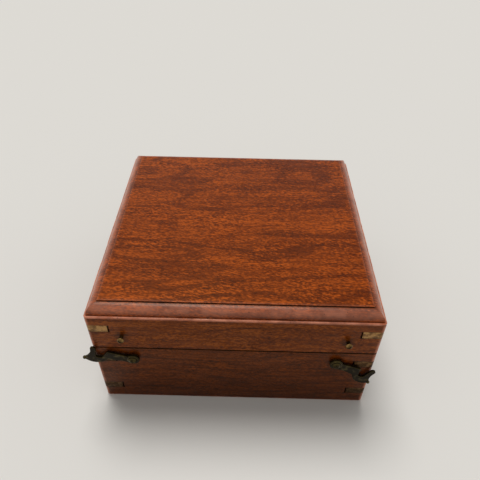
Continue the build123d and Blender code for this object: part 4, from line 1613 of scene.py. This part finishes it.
@dataclass(frozen=True)
class Studio:
    """The photograph's viewpoint, a pale floor and plain soft light."""

    frame_pixels: float = 480.0
    focal_pixels: float = 476.54
    sensor: float = 36.0            # mm
    nearest: float = 0.01           # metres, where the camera starts to see
    elevation: float = 42.086       # degrees
    azimuth: float = 0.498
    roll: float = 1.033
    distance: float = 0.34965       # metres
    target: Point = (0.00111, 0.01889, 0.0495)
    floor_width: float = 30.0
    floor_colour: str = "#d9d6d0"
    shown_sky: str = "#dfddd8"
    sky_light: float = 0.42
    key_light: float = 2.1
    key_place: Point = (-0.26, 0.8, 2.2)
    key_spread: float = 30.0        # degrees, how soft its shadows are

    def camera(self) -> None:
        """Places the camera where the photograph was taken from."""
        lift, turn, lean = (math.radians(a) for a in (self.elevation, self.azimuth, self.roll))
        back = Vector((math.sin(turn) * math.cos(lift), -math.cos(turn) * math.cos(lift), math.sin(lift)))
        level = Vector((0, 0, 1)).cross(back).normalized()
        upright = back.cross(level)
        right = level * math.cos(lean) + upright * math.sin(lean)
        up = upright * math.cos(lean) - level * math.sin(lean)
        data = bpy.data.cameras.new("camera")
        data.sensor_width = self.sensor
        data.lens = self.sensor * self.focal_pixels / self.frame_pixels
        data.clip_start = self.nearest
        eye = bpy.data.objects.new("camera", data)
        turned = Matrix((right, up, back)).transposed().to_4x4()
        eye.matrix_world = Matrix.Translation(Vector(self.target) + back * self.distance) @ turned
        bpy.context.collection.objects.link(eye)
        bpy.context.scene.camera = eye

    def floor(self) -> None:
        """Lays a plain pale floor under the case."""
        half = self.floor_width / 2
        mesh = bpy.data.meshes.new("floor")
        mesh.from_pydata([(-half, -half, 0), (half, -half, 0), (half, half, 0), (-half, half, 0)], [],
                         [(0, 1, 2, 3)])
        material, tree = new_material("pale_matt_floor")
        add(tree, "OutputMaterial",
            {"Surface": add(tree, "BsdfDiffuse", {"Color": linear(self.floor_colour)})})
        mesh.materials.append(material)
        placed(mesh, "floor")

    def sky(self) -> None:
        """Gives a plain pale surround: what the eye and reflections see, and a softer light."""
        world = bpy.data.worlds.new("surround")
        world.use_nodes = True
        tree = world.node_tree
        tree.nodes.clear()
        rays = add(tree, "LightPath").node.outputs
        seen = rays["Is Camera Ray"]
        for kind in ("Is Glossy Ray", "Is Transmission Ray"):
            seen = add(tree, "Math MAXIMUM", (seen, rays[kind]))
        light, shown = (add(tree, "Background", {"Color": linear(colour), "Strength": strength})
                        for colour, strength in (("#ffffff", self.sky_light), (self.shown_sky, 1.0)))
        add(tree, "OutputWorld", {"Surface": add(tree, "MixShader", (seen, light, shown))})
        bpy.context.scene.world = world

    def key(self) -> None:
        """Hangs one broad lamp over the case, a little to its back left."""
        data = bpy.data.lights.new("key", "SUN")
        data.energy = self.key_light
        data.angle = math.radians(self.key_spread)
        lamp = bpy.data.objects.new("key", data)
        lamp.location = self.key_place
        lamp.rotation_mode = "QUATERNION"
        lamp.rotation_quaternion = Vector(self.key_place).to_track_quat("Z", "Y")
        bpy.context.collection.objects.link(lamp)

    def build(self) -> None:
        """Sets up the view and the light."""
        self.camera()
        self.floor()
        self.sky()
        self.key()
        bpy.context.scene.view_settings.view_transform = "Standard"


# ---- Everything ------------------------------------------------------------------------

def main() -> None:
    """Builds the looks in order."""
    logging.basicConfig(level=logging.INFO, format="%(message)s")
    finishes = Finishes.mixed()
    Studio().build()
    LidBoard(finishes.lid_top).build()
    for assembly in (Carcass, Hinges, Latches, Inside):
        assembly(finishes).build()


if __name__ == "__main__":
    main()
